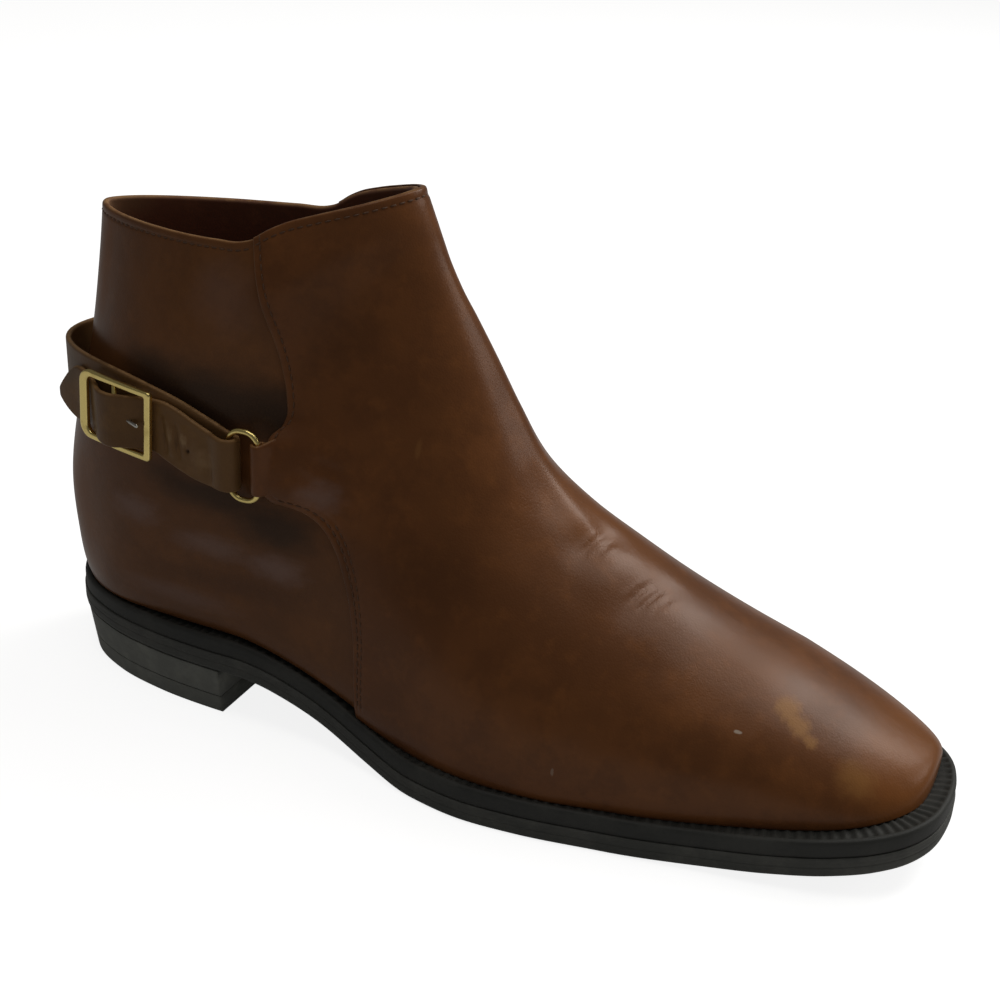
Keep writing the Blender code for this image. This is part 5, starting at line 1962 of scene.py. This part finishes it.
def build_floor(settings):
    """White sweep that shows only the boot's own soft shadow."""
    work = bmesh.new()
    bmesh.ops.create_grid(work, x_segments=2, y_segments=2, size=FLOOR_HALF)
    mesh = bpy.data.meshes.new("Floor")
    work.to_mesh(mesh)
    work.free()
    material, tree, shader = new_material("White sweep")
    shader.inputs["Base Color"].default_value = (settings.floor_white,) * 3 + (1.0,)
    shader.inputs["Roughness"].default_value = 1.0
    shader.inputs["Specular IOR Level"].default_value = 0.0
    shader.inputs["Emission Color"].default_value = (1.0, 1.0, 1.0, 1.0)
    path = node(tree, "ShaderNodeLightPath")
    mirrored = maths(tree, "MULTIPLY", path.outputs["Is Glossy Ray"], settings.floor_mirror)
    glow = maths(tree, "MULTIPLY_ADD", path.outputs["Is Camera Ray"], settings.floor_glow, mirrored)
    feed(tree, shader.inputs["Emission Strength"], glow)
    mesh.materials.append(material)
    floor = bpy.data.objects.new("Floor", mesh)
    bpy.context.collection.objects.link(floor)


def build_lights(settings):
    """Soft window light from behind the toe, and a faint world behind a white background."""
    for lamp in LAMPS:
        data = bpy.data.lights.new(lamp.name, "AREA")
        data.shape = "RECTANGLE"
        data.size = lamp.wide
        data.size_y = lamp.high
        data.energy = lamp.power * settings.light
        data.color = LAMP_COLOUR
        made = bpy.data.objects.new(lamp.name, data)
        bpy.context.collection.objects.link(made)
        made.location = (lamp.x, lamp.y, lamp.z)
        made.rotation_euler = (LAMP_AIM - made.location).to_track_quat("-Z", "Y").to_euler()
    world = bpy.data.worlds.new("Studio")
    bpy.context.scene.world = world
    world.use_nodes = True
    tree = world.node_tree
    sky = tree.nodes["Background"]
    sky.inputs["Color"].default_value = (*LAMP_COLOUR, 1.0)
    seen = node(tree, "ShaderNodeLightPath").outputs["Is Camera Ray"]
    feed(tree, sky.inputs["Strength"], maths(tree, "MULTIPLY_ADD", seen, 1.0, settings.world_light))


def build_stage(settings):
    """Camera, floor, lights and world."""
    bpy.context.scene.view_settings.view_transform = "Standard"
    build_camera(settings)
    build_floor(settings)
    build_lights(settings)


# Settings that a user would change


def colour_property(name, description, default):
    """Colour that the panel shows as a swatch."""
    return bpy.props.FloatVectorProperty(
        name=name, description=description, default=default, subtype="COLOR", min=0.0, max=1.0,
    )


def length_property(name, description, default):
    """Length in metres."""
    return bpy.props.FloatProperty(
        name=name, description=description, default=default, unit="LENGTH", min=0.0, precision=5,
    )


def factor_property(name, description, default):
    """Share between 0 and 1."""
    return bpy.props.FloatProperty(
        name=name, description=description, default=default, subtype="FACTOR", min=0.0, max=1.0,
    )


def angle_property(name, description, degrees):
    """Angle in radians, given in degrees."""
    return bpy.props.FloatProperty(
        name=name, description=description, default=math.radians(degrees), subtype="ANGLE",
    )


class LeatherSettings(bpy.types.PropertyGroup):
    """Colours and finish of the leathers."""

    vamp_colour: colour_property("Vamp", "Dye of the vamp", (0.208, 0.076, 0.024))
    quarter_colour: colour_property("Quarters", "Dye of the quarters", (0.205, 0.080, 0.026))
    strap_colour: colour_property("Strap", "Dye of the strap", (0.215, 0.112, 0.042))
    lining_colour: colour_property("Lining", "Dye of the lining", (0.27, 0.122, 0.072))
    sock_colour: colour_property("Sock", "Dye of the insole's sock", (0.22, 0.115, 0.055))
    edge_colour: colour_property("Cut edges", "Raw leather at the edges", (0.46, 0.26, 0.11))
    roughness: factor_property("Roughness", "Roughness of the polished calf", 0.33)
    coat: factor_property("Wax", "Weight of the polish on the calf", 0.06)
    grain: length_property("Grain", "Size of the grain's cells", GRAIN_SIZE)


class SeamSettings(bpy.types.PropertyGroup):
    """Stitching of the seams."""

    thread_colour: colour_property("Thread", "Colour of the thread", (0.15, 0.066, 0.026))
    length: length_property("Stitch", "Length of a stitch", 0.0022)
    pitch: length_property("Pitch", "Distance from stitch to stitch", 0.0028)
    radius: length_property("Thread radius", "Half the thickness of the thread", 0.0003)


class SoleSettings(bpy.types.PropertyGroup):
    """Welt, outsole and heel."""

    rubber_colour: colour_property("Rubber", "Colour of the sole", (0.040, 0.041, 0.037))
    dust_colour: colour_property("Dust", "Dust on the sole", (0.085, 0.085, 0.076))
    roughness: factor_property("Roughness", "Roughness of the rubber", 0.58)
    rib_depth: length_property("Ribs", "Depth of the ribs on the welt", 0.00055)


class FittingSettings(bpy.types.PropertyGroup):
    """Ring, buckle and prong."""

    brass_colour: colour_property("Brass", "Colour of the ring and buckle", (1.0, 0.80, 0.30))
    prong_colour: colour_property("Prong", "Colour of the prong", (0.62, 0.60, 0.55))
    roughness: factor_property("Roughness", "Roughness of the metal", 0.26)


class StageSettings(bpy.types.PropertyGroup):
    """Camera, lights and floor."""

    azimuth: angle_property("Turn", "Turn of the camera round the boot", 22.95)
    elevation: angle_property("Height", "Angle of the camera above the floor", 25.131)
    roll: angle_property("Roll", "Roll of the camera", 2.732)
    distance: length_property("Distance", "Distance of the camera", 0.480)
    light: bpy.props.FloatProperty(
        name="Light", description="Strength of the lamps", default=1.0, min=0.0,
    )
    world_light: factor_property("Fill", "Light from all round", 0.09)
    floor_white: factor_property("Floor", "Light that the floor gives back", 0.55)
    floor_glow: factor_property("Floor glow", "Brightness of the floor in the picture", 0.86)
    floor_mirror: factor_property("Floor mirrored", "Brightness of the floor in polish and metal", 0.12)


# Operators, one for each piece or group of like pieces


class BOOT_OT_stage(bpy.types.Operator):
    """Set up the camera, the lights and the floor"""

    bl_idname = "boot.stage"
    bl_label = "Stage"

    def execute(self, context):
        build_stage(context.scene.boot_stage)
        return {"FINISHED"}


class BOOT_OT_upper(bpy.types.Operator):
    """Model the quarters and their lining"""

    bl_idname = "boot.upper"
    bl_label = "Quarters"

    def execute(self, context):
        build_upper(context.scene.boot_leather)
        return {"FINISHED"}


class BOOT_OT_vamp(bpy.types.Operator):
    """Model the vamp and its tab round the ring"""

    bl_idname = "boot.vamp"
    bl_label = "Vamp"

    def execute(self, context):
        build_vamp(context.scene.boot_leather)
        build_tab(context.scene.boot_leather)
        return {"FINISHED"}


class BOOT_OT_insole(bpy.types.Operator):
    """Model the insole with its sock"""

    bl_idname = "boot.insole"
    bl_label = "Insole"

    def execute(self, context):
        build_insole(context.scene.boot_leather)
        return {"FINISHED"}


class BOOT_OT_sole(bpy.types.Operator):
    """Model the welt and the outsole"""

    bl_idname = "boot.sole"
    bl_label = "Welt and outsole"

    def execute(self, context):
        build_welt(context.scene.boot_sole)
        build_outsole(context.scene.boot_sole)
        return {"FINISHED"}


class BOOT_OT_heel(bpy.types.Operator):
    """Model the heel's lifts and its top piece"""

    bl_idname = "boot.heel"
    bl_label = "Heel"

    def execute(self, context):
        build_heel(context.scene.boot_sole)
        return {"FINISHED"}


class BOOT_OT_strap(bpy.types.Operator):
    """Model the strap from the inner side to its loose tip"""

    bl_idname = "boot.strap"
    bl_label = "Strap"

    def execute(self, context):
        build_strap(context.scene.boot_leather)
        return {"FINISHED"}


class BOOT_OT_fittings(bpy.types.Operator):
    """Model the ring, the buckle and its prong"""

    bl_idname = "boot.fittings"
    bl_label = "Ring and buckle"

    def execute(self, context):
        build_ring(context.scene.boot_fittings)
        build_buckle(context.scene.boot_fittings)
        return {"FINISHED"}


class BOOT_OT_stitching(bpy.types.Operator):
    """Sew the visible seams"""

    bl_idname = "boot.stitching"
    bl_label = "Stitching"

    def execute(self, context):
        build_stitching(context.scene.boot_seams)
        return {"FINISHED"}


OPERATORS = (
    BOOT_OT_stage, BOOT_OT_upper, BOOT_OT_vamp, BOOT_OT_insole, BOOT_OT_sole, BOOT_OT_heel,
    BOOT_OT_strap, BOOT_OT_fittings, BOOT_OT_stitching,
)
SETTINGS = {
    "boot_leather": LeatherSettings, "boot_seams": SeamSettings, "boot_sole": SoleSettings,
    "boot_fittings": FittingSettings, "boot_stage": StageSettings,
}


class BOOT_PT_pieces(bpy.types.Panel):
    """Pieces of the boot and their settings"""

    bl_idname = "BOOT_PT_pieces"
    bl_label = "Monk strap boot"
    bl_space_type = "VIEW_3D"
    bl_region_type = "UI"
    bl_category = "Boot"

    def draw(self, context):
        column = self.layout.column()
        for operator in OPERATORS:
            column.operator(operator.bl_idname)
        for key, kind in SETTINGS.items():
            column.label(text=kind.__doc__)
            for name in kind.__annotations__:
                column.prop(getattr(context.scene, key), name)


def register():
    """Add the settings, the operators and the panel."""
    for kind in (*SETTINGS.values(), *OPERATORS, BOOT_PT_pieces):
        bpy.utils.register_class(kind)
    for key, kind in SETTINGS.items():
        setattr(bpy.types.Scene, key, bpy.props.PointerProperty(type=kind))


def unregister():
    """Take them away again."""
    for key in SETTINGS:
        delattr(bpy.types.Scene, key)
    for kind in (BOOT_PT_pieces, *OPERATORS[::-1], *SETTINGS.values()):
        bpy.utils.unregister_class(kind)


def main():
    """Build the stage and every piece."""
    register()
    bpy.ops.boot.stage()
    bpy.ops.boot.upper()
    bpy.ops.boot.vamp()
    bpy.ops.boot.insole()
    bpy.ops.boot.sole()
    bpy.ops.boot.heel()
    bpy.ops.boot.strap()
    bpy.ops.boot.fittings()
    bpy.ops.boot.stitching()


if __name__ == "__main__":
    main()
